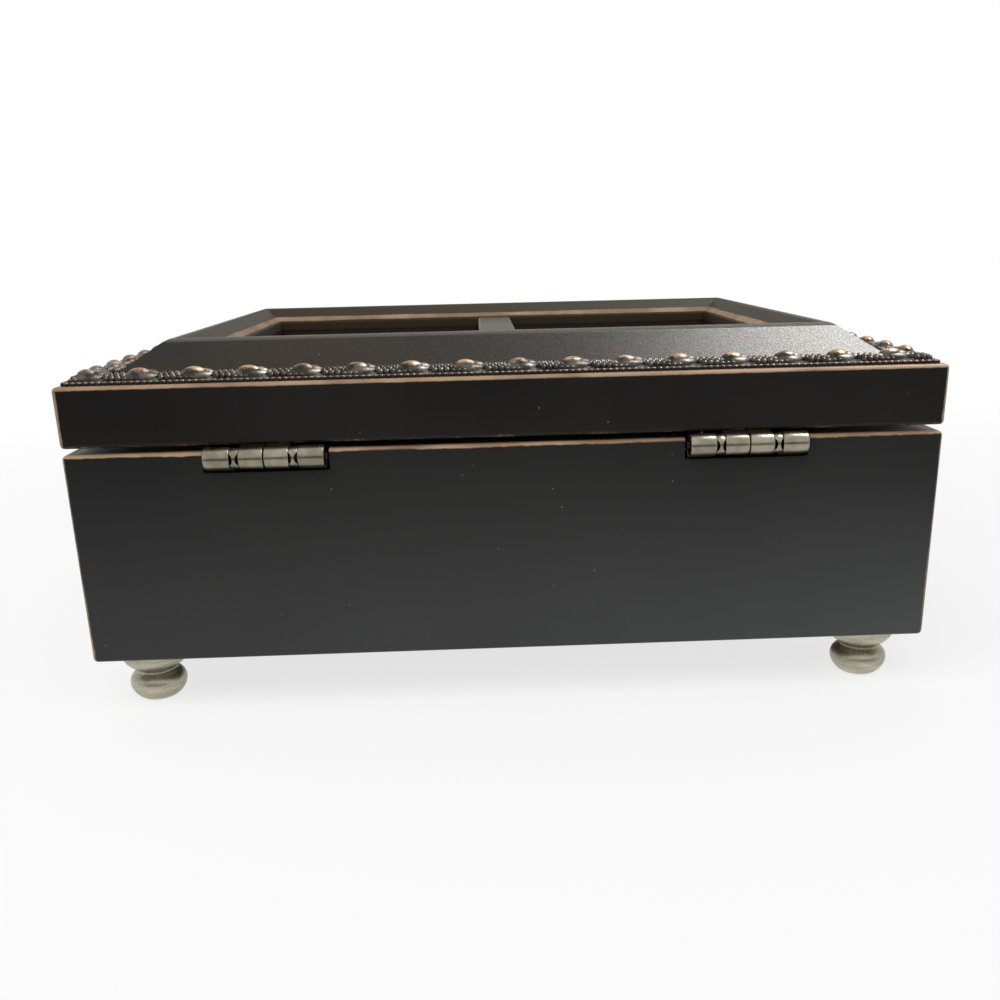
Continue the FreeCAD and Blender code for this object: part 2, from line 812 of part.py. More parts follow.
def comb_screw_places():
    """Where the two comb screws stand."""
    middle = f"({MOVE_X} + cylinder_start + cylinder_length / 2)"
    y = f"({MOVE_Y} - (bed_front + comb_root) / 2)"
    return [(f"{middle} {hand} comb_screw_spread / 2", y) for hand in ("-", "+")]


def comb():
    """The steel comb: a plate sawn into one tooth per note, tips just clear of the pins."""
    body = new_body("comb")
    tips = f"(cylinder_y - {PINS_OUT} - comb_gap)"
    end = "(cylinder_start + cylinder_length)"
    plate = [
        ("cylinder_start", "-comb_front"),
        (end, "-comb_front"),
        (end, tips),
        ("cylinder_start", tips),
    ]
    pad(body, draw(sketch(body, "XY_Plane"), plate), "comb_thick")
    pitch = "(cylinder_length / notes)"
    first = f"(cylinder_start + {pitch})"
    slot = sketch(body, "XY_Plane")
    draw(slot, [
        (f"{first} - comb_slot / 2", "-comb_root"),
        (f"{first} + comb_slot / 2", "-comb_root"),
        (f"{first} + comb_slot / 2", f"{tips} + {OVERSHOOT}"),
        (f"{first} - comb_slot / 2", f"{tips} + {OVERSHOOT}"),
    ])
    saw = pocket(body, slot)
    axis = (origin_part(body, "X_Axis"), [""])
    row_of(body, saw, axis, f"{pitch} * (notes - 2)", "notes - 1")
    holes = sketch(body, "XY_Plane")
    for hand in ("-", "+"):
        x = f"cylinder_start + cylinder_length / 2 {hand} comb_screw_spread / 2"
        draw_circle(holes, x, "-(bed_front + comb_root) / 2", "comb_screw_shank + running")
    pocket(body, holes)
    return place(body, MOVE_X, MOVE_Y, f"{ARBOR_Z} - comb_thick")


def pan_screw(x, y, seat, head, shank, length, head_thick, down=True):
    """A screw with a flat round head; its shank hangs from the seat, or stands on it."""
    if down:
        return fuse([
            rod(head, head_thick, x, y, seat),
            rod(shank, f"({length}) + ({head_thick}) / 2", x, y, f"({seat}) - ({length})"),
        ])
    return fuse([
        rod(head, head_thick, x, y, f"({seat}) - ({head_thick})"),
        rod(shank, f"({length}) + ({head_thick}) / 2", x, y, f"({seat}) - ({head_thick}) / 2"),
    ])


def note_cylinder():
    """The brass tube with its pins: each comb tooth has a few, spread round by a fixed step."""
    tube_radius = size("cylinder_radius")
    length = size("cylinder_length")
    notes = int(size("notes"))
    per_note = int(size("pins_per_note"))
    tube = Part.makeCylinder(tube_radius, length)
    rooted = size("note_pin_out") * 2
    pins = []
    for note in range(notes):
        for turn in range(per_note):
            angle = (turn / per_note + (note * 7 % notes) / notes / per_note) * 360
            pin = Part.makeCylinder(size("note_pin_radius"), rooted)
            pin.Placement = FreeCAD.Placement(V(0, 0, 0), about("y", 90))
            pin.translate(V(tube_radius - rooted / 2, 0, length * (note + 0.5) / notes))
            pin.rotate(V(0, 0, 0), V(0, 0, 1), angle)
            pins.append(pin)
    shape = tube.fuse(pins).cut(Part.makeCylinder(size("arbor_radius"), length))
    obj = doc.addObject("Part::Feature", "cylinder")
    obj.Shape = shape.Solids[0]
    return place(obj, f"{MOVE_X} + cylinder_start", CYL_Y, ARBOR_Z, TO_X)


def cylinder_arbor():
    """The cylinder's arbor, from post to post, with the drive pinion cut on it."""
    body = new_body("cylinder_arbor")
    low = "(drum_x + crown_mean - drive_width / 2 - post_gap - post_thick)"
    high = f"({POST_X} + post_thick)"
    staff = sketch(body, "XY_Plane", ("0", "0", low))
    pad(body, draw_circle(staff, "0", "0", "arbor_radius"), f"{high} - {low}")
    start = "(drum_x + crown_mean - drive_width / 2)"
    gap_down = 270 - 180 / size("drive_teeth")
    module = f"(2 * {DRIVE_PITCH} / drive_teeth)"
    add_gear(body, start, "drive_width", module, "drive_teeth", gap_down)
    return place(body, MOVE_X, CYL_Y, ARBOR_Z, TO_X)


def cylinder_gear():
    """The large wheel on the cylinder's end, which drives the governor."""
    body = new_body("cylinder_gear")
    add_gear(body, "0", "gear_width", "gear_module", "gear_teeth", 0)
    bore(body, "arbor_radius")
    return place(body, f"{MOVE_X} + {GEAR_X}", CYL_Y, ARBOR_Z, TO_X)


def bearing_posts():
    """Two plates on the bed that carry the arbor's ends; the left one reaches over the drum."""
    top = f"({ARBOR_UP} + post_cap)"
    left = new_body("post")
    leg = "(cylinder_y + drum_radius - post_lap)"
    foot_end = "(cylinder_y + drum_radius + post_toe)"
    under = f"({CROWN_LOW} + crown_disc + crown_tooth_height + crown_air)"
    left_x = "(drum_x + crown_mean - drive_width / 2 - post_gap - post_thick)"
    outline = sketch(left, "YZ_Plane", ("0", "0", left_x))
    draw(outline, [
        ("cylinder_y - post_cap", under),
        (leg, under),
        (leg, "bed_thick"),
        (foot_end, "bed_thick"),
        (foot_end, top),
        ("cylinder_y - post_cap", top),
    ])
    pad(left, outline, "post_thick")
    hole = draw_circle(sketch(left, "YZ_Plane"), "cylinder_y", ARBOR_UP, "arbor_radius + running")
    pocket(left, hole)
    right = new_body("post")
    outline = sketch(right, "YZ_Plane", ("0", "0", POST_X))
    draw(outline, [
        ("cylinder_y - post_cap", "bed_thick"),
        (f"{GOVERNOR_Y} + post_cap", "bed_thick"),
        (f"{GOVERNOR_Y} + post_cap", top),
        ("cylinder_y - post_cap", top),
    ])
    pad(right, outline, "post_thick")
    holes = sketch(right, "YZ_Plane")
    draw_circle(holes, "cylinder_y", ARBOR_UP, "arbor_radius + running")
    draw_circle(holes, GOVERNOR_Y, ARBOR_UP, "governor_staff_radius + running")
    pocket(right, holes)
    return group([place(post, MOVE_X, MOVE_Y, MOVE_Z) for post in (left, right)])


def spring_drum():
    """The closed can that holds the mainspring, bored for the winding arbor."""
    low = f"({MOVE_Z} + bed_thick)"
    can = rod("drum_radius", "drum_height", DRUM_X, CYL_Y, low)
    room = rod(
        "drum_radius - drum_shell", "drum_height - 2 * drum_shell", DRUM_X, CYL_Y,
        f"{low} + drum_shell",
    )
    hole = rod(
        "winding_radius + running", f"drum_height + {2 * OVERSHOOT}", DRUM_X, CYL_Y,
        f"{low} - {OVERSHOOT}",
    )
    return cut(can, [room, hole])


def mainspring():
    """A flat spiral of half turns, each a little wider, from near the arbor to the can."""
    pitch = size("spring_pitch")
    thick = size("spring_thick")
    turns = int(size("spring_turns"))
    inner = size("drum_radius - drum_shell - spring_thick") - pitch * (turns + 0.25)
    height = size("drum_height - 2 * drum_shell") - 4 * size("running")

    def half_turns(extra):
        """The spiral's line, widened by an extra radius."""
        arcs = []
        for half in range(2 * turns):
            radius = inner + pitch * half / 2 + extra
            centre = V(pitch / 4 if half % 2 else -pitch / 4, 0, 0)
            way = -1 if half % 2 else 1
            start = centre + V(way * radius, 0, 0)
            middle = centre + V(0, way * radius, 0)
            end = centre - V(way * radius, 0, 0)
            arcs.append(Part.Arc(start, middle, end).toShape())
        return arcs

    inside = half_turns(0)
    outside = half_turns(thick)
    ends = [
        Part.makeLine(inside[0].firstVertex().Point, outside[0].firstVertex().Point),
        Part.makeLine(inside[-1].lastVertex().Point, outside[-1].lastVertex().Point),
    ]
    wire = Part.Wire(Part.__sortEdges__(inside + outside + ends))
    obj = doc.addObject("Part::Feature", "mainspring")
    obj.Shape = Part.Face(wire).extrude(V(0, 0, height))
    low = f"{MOVE_Z} + bed_thick + drum_shell + 2 * running"
    return place(obj, DRUM_X, CYL_Y, low)


def great_wheel():
    """The spring's crown wheel: a disc whose teeth stand up near its rim."""
    body = new_body("great_wheel")
    rim = "(crown_mean + crown_tooth_length / 2)"
    disc = draw_circle(sketch(body, "XY_Plane"), "0", "0", f"{rim} + crown_rim")
    pad(body, disc, "crown_disc")
    tooth = sketch(body, "XY_Plane")
    low = "(crown_mean - crown_tooth_length / 2)"
    draw(tooth, [
        (low, "-crown_tooth_width / 2"),
        (rim, "-crown_tooth_width / 2"),
        (rim, "crown_tooth_width / 2"),
        (low, "crown_tooth_width / 2"),
    ])
    ring_of(body, pad(body, tooth, "crown_disc + crown_tooth_height"), "crown_teeth")
    bore(body, "winding_radius + running")
    return place(body, DRUM_X, CYL_Y, f"{MOVE_Z} + {CROWN_LOW}")


def governor_wheel():
    """The governor's first staff, with its pinion at one end and the worm wheel near the other."""
    body = new_body("governor_wheel")
    low = f"({GEAR_X} - governor_staff_end)"
    high = f"({PLATE_X} + frame_arm)"
    staff = sketch(body, "XY_Plane", ("0", "0", low))
    pad(body, draw_circle(staff, "0", "0", "governor_staff_radius"), f"{high} - {low}")
    gap_to_gear = 180 - 180 / size("pinion_teeth")
    add_gear(body, GEAR_X, "gear_width", "gear_module", "pinion_teeth", gap_to_gear)
    add_gear(body, WORM_WHEEL_X, "worm_wheel_width", "worm_module", "worm_wheel_teeth", 0)
    return place(body, MOVE_X, f"{MOVE_Y} + {GOVERNOR_Y}", ARBOR_Z, TO_X)


def worm():
    """The endless screw on the upright staff; a gap of its thread faces the wheel's tooth."""
    body = new_body("worm")
    low = "(bed_thick / 2 + running)"
    high = f"({ARM_UP} + frame_arm)"
    staff = sketch(body, "XY_Plane", ("0", "0", low))
    pad(body, draw_circle(staff, "0", "0", "staff_radius"), f"{high} - {low}")
    lead = "(worm_module * pi)"
    start = f"({ARBOR_UP} - worm_low_turns * {lead})"
    core = sketch(body, "XY_Plane", ("0", "0", f"{start} - {lead} / 2"))
    pad(body, draw_circle(core, "0", "0", "worm_core"), f"{lead} * (worm_turns + 1)")
    thread = sketch(body, "XZ_Plane")
    foot_half = f"({lead} * thread_foot_share / 2)"
    crest_half = f"({lead} * thread_crest_share / 2)"
    draw(thread, [
        ("thread_root", f"{start} - {foot_half}"),
        ("worm_crest", f"{start} - {crest_half}"),
        ("worm_crest", f"{start} + {crest_half}"),
        ("thread_root", f"{start} + {foot_half}"),
    ])
    helix = body.newObject("PartDesign::AdditiveHelix", "thread")
    helix.Profile = thread
    helix.ReferenceAxis = (thread, ["V_Axis"])
    helix.Mode = 0
    helix.setExpression("Pitch", ex(lead))
    helix.setExpression("Height", ex(f"{lead} * worm_turns"))
    return place(body, f"{MOVE_X} + {WORM_X}", f"{MOVE_Y} + {WORM_Y}", MOVE_Z)


def air_brake():
    """The fly: two flat wings on a collar, clamped to the worm's staff."""
    x = f"({MOVE_X} + {WORM_X})"
    y = f"({MOVE_Y} + {WORM_Y})"
    low = f"({MOVE_Z} + {FLY_UP})"
    wings = box(
        f"{x} - fly_radius", f"{x} + fly_radius", f"{y} - fly_thick / 2", f"{y} + fly_thick / 2",
        low, f"{low} + fly_height",
    )
    collar = rod("fly_collar_radius", "fly_height", x, y, low)
    hole = rod("staff_radius", f"fly_height + {2 * OVERSHOOT}", x, y, f"{low} - {OVERSHOOT}")
    return cut(fuse([wings, collar]), [hole])


def governor_frame():
    """The upright plate with an arm over the worm, which carries both governor staffs."""
    low_x = f"({MOVE_X} + {PLATE_X})"
    y = f"({MOVE_Y} + {WORM_Y})"
    plate = box(
        low_x, f"{low_x} + frame_arm", f"{MOVE_Y} + {GOVERNOR_Y} - post_cap",
        f"{MOVE_Y} + bed_back", f"{MOVE_Z} + bed_thick", f"{MOVE_Z} + {ARM_UP} + frame_arm",
    )
    arm = box(
        f"{MOVE_X} + {WORM_X} - 2 * staff_radius - {OVERSHOOT}", f"{low_x} + frame_arm / 2",
        f"{y} - post_cap", f"{MOVE_Y} + bed_back", f"{MOVE_Z} + {ARM_UP}",
        f"{MOVE_Z} + {ARM_UP} + frame_arm",
    )
    upright = rod(
        "staff_radius + running", f"frame_arm + {2 * OVERSHOOT}", f"{MOVE_X} + {WORM_X}", y,
        f"{MOVE_Z} + {ARM_UP} - {OVERSHOOT}",
    )
    level = rod(
        "governor_staff_radius + running", f"frame_arm + {2 * OVERSHOOT}", f"{low_x} - {OVERSHOOT}",
        f"{MOVE_Y} + {GOVERNOR_Y}", ARBOR_Z, "x",
    )
    return cut(fuse([plate, arm]), [upright, level])


def stop_wire():
    """The wire that the closed lid holds down, with a bead beside the fly's wings."""
    x = f"({MOVE_X} + stop_wire_x)"
    y = f"({MOVE_Y} + stop_wire_y)"
    low = f"({MOVE_Z} + bed_thick + running)"
    wire = rod("stop_wire_radius", f"{LID} - lid_touch - {low}", x, y, low)
    bead_low = f"{MOVE_Z} + {FLY_UP} + (fly_height - stop_bead_height) / 2"
    bead = rod("stop_bead_radius", "stop_bead_height", x, y, bead_low)
    return fuse([wire, bead])


def winding_arbor():
    """The upright arbor from the great wheel down through the panel, ending in the key."""
    low = "(key_floor_air + key_wing_height)"
    high = f"({MOVE_Z} + {CROWN_LOW} + crown_disc + crown_air)"
    return rod("winding_radius", f"{high} - {low}", DRUM_X, CYL_Y, low)


def winding_key():
    """A butterfly key under the box: a hub on the arbor with two flat wings, clear of the table."""
    wing_low = "key_floor_air"
    wing_top = "(key_floor_air + key_wing_height)"
    wings = box(
        f"{DRUM_X} - key_wing_span / 2", f"{DRUM_X} + key_wing_span / 2",
        f"{CYL_Y} - key_wing_thick / 2", f"{CYL_Y} + key_wing_thick / 2", wing_low, wing_top,
    )
    hub_low = f"({wing_top} + key_hub_collar - key_hub_height)"
    hub = rod("key_hub_radius", "key_hub_height", DRUM_X, CYL_Y, hub_low)
    hole = rod("winding_radius", f"key_hub_height + {OVERSHOOT}", DRUM_X, CYL_Y, wing_top)
    return cut(fuse([wings, hub]), [hole])


keep(bedplate(), "bedplate")
keep(comb(), "comb")
comb_screws = [
    pan_screw(x, y, ARBOR_Z, "comb_screw_head", "comb_screw_shank",
              "comb_thick + comb_screw_length", "comb_thick")
    for x, y in comb_screw_places()
]
keep(group(comb_screws), "comb_screws")
keep(note_cylinder(), "note_cylinder")
keep(cylinder_arbor(), "cylinder_arbor")
keep(cylinder_gear(), "cylinder_gear")
keep(bearing_posts(), "bearing_posts")
keep(spring_drum(), "spring_drum")
keep(mainspring(), "mainspring")
keep(great_wheel(), "great_wheel")
keep(governor_wheel(), "governor_wheel")
keep(worm(), "worm")
keep(air_brake(), "air_brake")
keep(governor_frame(), "governor_frame")
keep(stop_wire(), "stop_wire")
keep(winding_arbor(), "winding_arbor")
keep(winding_key(), "winding_key")
bed_screws = [
    pan_screw(x, y, "foot_height + bed_screw_sink", "bed_screw_head", "bed_screw_shank",
              "panel_thick - bed_screw_sink + bed_thick", "bed_screw_head_thick", down=False)
    for x, y in BED_SCREWS
]
keep(group(bed_screws), "movement_screws")


# Stop hinges. Angles are counted from straight back, upwards; the lugs of the two leaves
# meet when the lid has swung through its whole range.
def lug(x, length, start_deg):
    """A sector of a barrel, between the pin's hole and the barrel's outside."""
    obj = doc.addObject("Part::Cylinder", "lug")
    obj.setExpression("Radius", ex("barrel_radius"))
    obj.setExpression("Height", ex(length))
    obj.setExpression("Angle", ex("stop_lug_deg"))
    turn = about("x", start_deg).multiply(TO_X)
    return place(obj, x, AXIS_Y, AXIS_Z, turn)


def leaf(centre, upper):
    """A leaf: its plate, two barrels with their necks and a stop lug on each barrel."""
    half = f"({HINGE_LENGTH} / 2)"
    inner_start = "(barrel_seam / 2)"
    plate_end = f"{AXIS_Y} - barrel_radius - leaf_air"
    if upper:
        low, high = f"{LID} - leaf_thick", LID
        neck = (AXIS_Z, LID)
        span = (inner_start, "inner_barrel")
        hole = "pin_radius + running"
        start_deg = size("lid_swing_deg + stop_slack_deg - stop_edge_deg")
    else:
        low, high = NOTCH_FLOOR, f"{NOTCH_FLOOR} + leaf_thick"
        neck = (NOTCH_FLOOR, AXIS_Z)
        span = (f"({half} - outer_barrel)", "outer_barrel")
        hole = "pin_radius + running / 2"
        start_deg = -size("stop_edge_deg + stop_lug_deg")
    shapes = [box(f"{centre} - {half}", f"{centre} + {half}", f"{BACK} - leaf_depth",
                  plate_end, low, high)]
    for way in (-1, 1):
        start = f"({centre} + {span[0]})" if way > 0 else f"({centre} - {span[0]} - {span[1]})"
        shapes.append(rod("barrel_radius", span[1], start, AXIS_Y, AXIS_Z, "x"))
        shapes.append(box(start, f"{start} + {span[1]}",
                          f"{AXIS_Y} - barrel_radius - joint_lap", AXIS_Y, *neck))
        length = "(stop_gap - lug_air + joint_lap)"
        outward = (way > 0) == upper
        lug_start = f"{start} - stop_gap + lug_air"
        if outward:
            lug_start = f"{start} + {span[1]} - joint_lap"
        shapes.append(lug(lug_start, length, start_deg))
    holes = [rod(hole, f"{HINGE_LENGTH} + {2 * OVERSHOOT}", f"{centre} - {half} - {OVERSHOOT}",
                 AXIS_Y, AXIS_Z, "x")]
    for x, y in leaf_screw_places(centre):
        holes.append(leaf_screw_cone(x, y, upper, "running"))
    return cut(fuse(shapes), holes)


def leaf_screw_places(centre):
    """Where a leaf's two screws stand."""
    y = f"({BACK} - leaf_screw_inset)"
    return [(f"({centre} {hand} leaf_screw_spread / 2)", y) for hand in ("-", "+")]


def leaf_screw_cone(x, y, upper, extra):
    """The countersunk part of a leaf screw, from shank to head through the leaf."""
    shank = f"leaf_screw_shank + {extra}"
    head = f"leaf_screw_head + {extra}"
    if upper:
        return cone(head, shank, "leaf_thick", x, y, f"{LID} - leaf_thick")
    return cone(shank, head, "leaf_thick", x, y, NOTCH_FLOOR)


def leaf_screws(upper):
    """The four countersunk screws that hold the two upper or the two lower leaves."""
    screws = []
    for way in ("-", ""):
        for x, y in leaf_screw_places(f"({way}{HINGE_X})"):
            start = f"{LID} - leaf_thick / 2" if upper else f"{NOTCH_FLOOR} - leaf_screw_length"
            length = "leaf_screw_length + leaf_thick / 2"
            shank = rod("leaf_screw_shank - running / 2", length, x, y, start)
            screws.append(fuse([leaf_screw_cone(x, y, upper, "0"), shank]))
    return group(screws)


for hand, way in (("left", "-"), ("right", "")):
    centre = f"({way}{HINGE_X})"
    keep(leaf(centre, False), f"hinge_{hand}_lower_leaf")
    keep(leaf(centre, True), f"hinge_{hand}_upper_leaf")
    start = f"{centre} - {HINGE_LENGTH} / 2" + (" - pin_end" if hand == "right" else "")
    pin = rod("pin_radius", f"{HINGE_LENGTH} + pin_end", start, AXIS_Y, AXIS_Z, "x")
    keep(pin, f"hinge_{hand}_pin")
keep(leaf_screws(False), "lower_leaf_screws")
keep(leaf_screws(True), "upper_leaf_screws")


# The lid
def lid_rail(side):
    """One side of the lid: rim, ledge for the trim, slope, crest, sight edge and rebates."""
    section = [
        ("0", "0"),
        ("recess_in", "0"),
        ("recess_in", "ledge_up"),
        ("rebate_in", "ledge_up"),
        ("rebate_in", "glass_up"),
        ("sight_in", "glass_up"),
        ("sight_in", "sight_up"),
        ("crest_in + crest_width", "lid_top"),
        ("crest_in", "lid_top", "shoulder_swell"),
        ("shoulder_in", "shoulder_up"),
        ("trim_seat", "slope_foot"),
        ("trim_seat", "rim_height"),
        ("rim_round", "rim_height", f"{QUARTER:.9f} * rim_round"),
        ("0", "rim_height - rim_round"),
    ]
    body = rail(f"lid_{side}_rail", side, section, "sight_in", LID)
    if side == "back":
        pilots = sketch(body, "XY_Plane")
        for way in ("-", ""):
            for x, _ in leaf_screw_places(f"({way}{HINGE_X})"):
                draw_circle(pilots, x, "leaf_screw_inset", "leaf_screw_shank")
        pocket(body, pilots, "leaf_screw_length", upward=True)
    if side in ("left", "right"):
        pivot = sketch(body, "XY_Plane", ("0", "0", "ledge_up"))
        draw_circle(pivot, "0", "(recess_in + rebate_in) / 2", "pivot_radius")
        pocket(body, pivot, "pivot_length", upward=True)
    return body


def trim_strip(side):
    """The applied strip: a low crowned band with a row of pointed ovals half sunk in it."""
    start = "trim_start"
    end = "(trim_seat - trim_joint)"
    low = "rim_height"
    edge = "(rim_height + trim_edge)"
    section = [
        (start, low),
        (end, low),
        (end, edge, "trim_crown"),
        (start, edge),
    ]
    length = SIDES[side][3]
    count = f"floor(({length} - ovals_clear) / oval_pitch)"
    shift = "-back_trim_shift" if side == "back" else "0"
    middle = f"(({start} + {end}) / 2)"
    first = f"({shift} - oval_pitch * ({count} - 1) / 2)"

    def add_ovals(body):
        """Pointed ovals in a row, flat underneath where they meet the lid."""
        outline = sketch(body, "XY_Plane", (first, middle, "rim_height + oval_seat"))
        draw(outline, [
            ("-oval_length / 2", "0", "oval_swell"),
            ("oval_length / 2", "0"),
        ])
        oval = revolve(body, outline, "H_Axis")
        row_of(body, oval, (outline, ["H_Axis"]), f"oval_pitch * ({count} - 1)", count)
        under = sketch(body, "XY_Plane", ("0", "0", "rim_height"))
        draw(under, [
            (f"-{length} / 2", "0"),
            (f"{length} / 2", "0"),
            (f"{length} / 2", "trim_seat"),
            (f"-{length} / 2", "trim_seat"),
        ])
        pocket(body, under, "oval_swell")

    return rail(f"trim_{side}", side, section, "trim_seat", LID, add_ovals)


def mullion():
    """The bar between the two windows, its long top edges bevelled."""
    body = new_body("mullion")
    half = "(mullion_width / 2)"
    section = [
        (f"-{half}", "glass_up"),
        (half, "glass_up"),
        (half, "sight_up - mullion_bevel"),
        (f"{half} - mullion_bevel", "sight_up"),
        (f"-{half} + mullion_bevel", "sight_up"),
        (f"-{half}", "sight_up - mullion_bevel"),
    ]
    profile = draw(sketch(body, "XZ_Plane"), section)
    pad(body, profile, "case_depth - 2 * sight_in", both=True)
    return place(body, "0", MID, LID)


def windows(low, high):
    """Two sheets side by side in the lid's rebate, at a height above the lid's underside."""
    reach = "(case_width / 2 - rebate_in - pane_play)"
    deep = "(case_depth / 2 - rebate_in - pane_play)"
    return group([
        box(left, right, f"{MID} - {deep}", f"{MID} + {deep}", f"{LID} + {low}", f"{LID} + {high}")
        for left, right in ((f"-{reach}", "-pane_play / 2"), ("pane_play / 2", reach))
    ])


def backing_board():
    """The board behind the pictures."""
    reach = "(case_width / 2 - rebate_in - pane_play)"
    deep = "(case_depth / 2 - rebate_in - pane_play)"
    high = f"{LID} + glass_up - glass_thick - card_thick"
    return box(f"-{reach}", reach, f"{MID} - {deep}", f"{MID} + {deep}",
               f"{high} - board_thick", high)


PIVOT_IN = "((recess_in + rebate_in) / 2)"


def turn_button(way):
    """A flat button that swings over the board's edge; its inner end is the long one."""
    pivot = f"({way}(case_width / 2 - {PIVOT_IN}))"
    inward = "" if way == "-" else "-"
    half = "(button_width / 2)"
    reach = f"{inward}(button_length - {half})"
    ends = (f"{pivot}", f"{pivot} + {reach}")
    low, high = ends if way == "-" else ends[::-1]
    bottom = f"{LID} + ledge_up - button_thick"
    plate = box(low, high, f"{MID} - {half}", f"{MID} + {half}", bottom, f"{LID} + ledge_up")
    round_end = rod(half, "button_thick", pivot, MID, bottom)
    hole = rod("pivot_radius + running", f"button_thick + {2 * OVERSHOOT}", pivot, MID,
               f"{bottom} - {OVERSHOOT}")
    return cut(fuse([plate, round_end]), [hole])


def button_pivots():
    """The two round-headed screws that the buttons turn on."""
    return group([
        pan_screw(
            f"({way}(case_width / 2 - {PIVOT_IN}))", MID,
            f"{LID} + ledge_up - button_thick - running", "pivot_head", "pivot_radius",
            "pivot_length + button_thick + running", "pivot_head_thick", down=False,
        )
        for way in ("-", "")
    ])


for side in SIDES:
    keep(lid_rail(side), f"lid_{side}_rail")
keep(mullion(), "mullion")
for side in SIDES:
    keep(trim_strip(side), f"trim_{side}")
keep(windows("glass_up - glass_thick", "glass_up"), "glass_panes")
keep(windows("glass_up - glass_thick - card_thick", "glass_up - glass_thick"), "picture_cards")
keep(backing_board(), "backing_board")
keep(turn_button("-"), "turn_button_left")
keep(turn_button(""), "turn_button_right")
keep(button_pivots(), "button_pivots")


# Build, check and write
doc.recompute()
for obj in doc.Objects:
    if "Invalid" in obj.State or "Error" in obj.State:
        raise SystemExit(f"{obj.Name} ({obj.Label}) failed: {obj.State}")
    if obj.TypeId == "PartDesign::Pocket":
        before = obj.BaseFeature.Shape.Volume
        if obj.Shape.Volume >= before:
            raise SystemExit(f"{obj.Name} cuts nothing")
os.makedirs("parts", exist_ok=True)
for obj in pieces:
    shape = obj.Shape
    if shape.isNull() or not shape.isValid() or not shape.Solids:
        raise SystemExit(f"{obj.Label} has no valid shape")
    shape.exportStep(f"parts/{obj.Label}.step")
whole = Part.makeCompound([obj.Shape for obj in pieces]).BoundBox
print(len(pieces), "sub-parts")
print("size", round(whole.XLength, 3), round(whole.YLength, 3), round(whole.ZLength, 3))
print("low corner", round(whole.XMin, 3), round(whole.YMin, 3), round(whole.ZMin, 3))
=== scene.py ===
import math

import bmesh
import bpy
from mathutils import Matrix, Vector


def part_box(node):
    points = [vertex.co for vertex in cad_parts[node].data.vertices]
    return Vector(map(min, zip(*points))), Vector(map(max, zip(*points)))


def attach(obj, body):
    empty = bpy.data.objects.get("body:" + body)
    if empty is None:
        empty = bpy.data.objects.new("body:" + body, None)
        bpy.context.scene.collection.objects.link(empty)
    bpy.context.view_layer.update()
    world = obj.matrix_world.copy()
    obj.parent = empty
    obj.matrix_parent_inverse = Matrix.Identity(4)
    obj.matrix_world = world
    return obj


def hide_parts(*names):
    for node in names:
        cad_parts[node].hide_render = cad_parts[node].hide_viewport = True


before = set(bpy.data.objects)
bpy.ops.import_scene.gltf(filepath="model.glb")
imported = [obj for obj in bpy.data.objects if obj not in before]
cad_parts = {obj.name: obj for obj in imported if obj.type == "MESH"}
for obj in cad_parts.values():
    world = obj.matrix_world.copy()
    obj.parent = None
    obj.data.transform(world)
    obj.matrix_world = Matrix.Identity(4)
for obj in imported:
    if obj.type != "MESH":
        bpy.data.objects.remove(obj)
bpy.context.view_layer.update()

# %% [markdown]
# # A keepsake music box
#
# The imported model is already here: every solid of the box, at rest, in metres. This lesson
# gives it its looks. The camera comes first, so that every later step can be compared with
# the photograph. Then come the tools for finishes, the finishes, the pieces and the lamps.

MM = 0.001


def middle_of(node):
    """The x, y and z of the middle of a node's box."""
    low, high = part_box(node)
    return [(a + b) / 2 for a, b in zip(low, high)]


wall_low, wall_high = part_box("left_wall")
_, case_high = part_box("right_wall")
HALF_X, CASE_TOP = case_high.x, case_high.z
HALF_Y = (wall_high.y - wall_low.y) / 2
_, MIDDLE, _ = middle_of("left_wall")
BACK = HALF_Y + MIDDLE
CASE_BASE = wall_low.z
LID_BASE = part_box("lid_left_rail")[0].z
RIM_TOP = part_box("trim_front")[0].z
# The lid's rim hangs a little below its frame, in millimetres
SKIRT = 0.7
LID_FOOT = LID_BASE - SKIRT * MM

# %% [markdown]
# ## The camera
#
# The photograph is taken from behind the box, a hand's breadth above its lid and looking
# down a little. The place and the turns below come from lining up the corners of the case
# and the lid. A camera looks along its own -Z, so the last turn stands it upright first.
# A small shift stands for the photograph's crop.

# %% Camera
EYE = Vector((7.9, 366.2, 128.0)) * MM
TURN, NOD, TILT = 0.031, 0.307, 0.023
camera = bpy.data.objects.new("camera", bpy.data.cameras.new("camera"))
bpy.context.scene.collection.objects.link(camera)
bpy.context.scene.camera = camera
camera.matrix_world = (
    Matrix.Translation(EYE)
    @ Matrix.Rotation(math.pi - TURN, 4, "Z")
    @ Matrix.Rotation(-NOD, 4, "X")
    @ Matrix.Rotation(TILT, 4, "Y")
    @ Matrix.Rotation(math.pi / 2, 4, "X")
)
camera.data.lens = 36.66
camera.data.shift_x = -0.0128
camera.data.shift_y = 0.0653
camera.data.clip_start = 0.01
camera.data.clip_end = 20
print("camera at", EYE)

# %% [markdown]
# ## Tools for finishes
#
# A finish is a small network of nodes. Written out link by link it is hard to read, so one
# class wraps a socket and lets Python's own signs add the Math nodes: `1 - mask` or
# `a * b`. A second class holds the material, adds every other node, and knows the few
# patterns that this box needs. Patterns read Object coordinates, which are metres here,
# so a noise scale of 500 has features about 2 mm across.

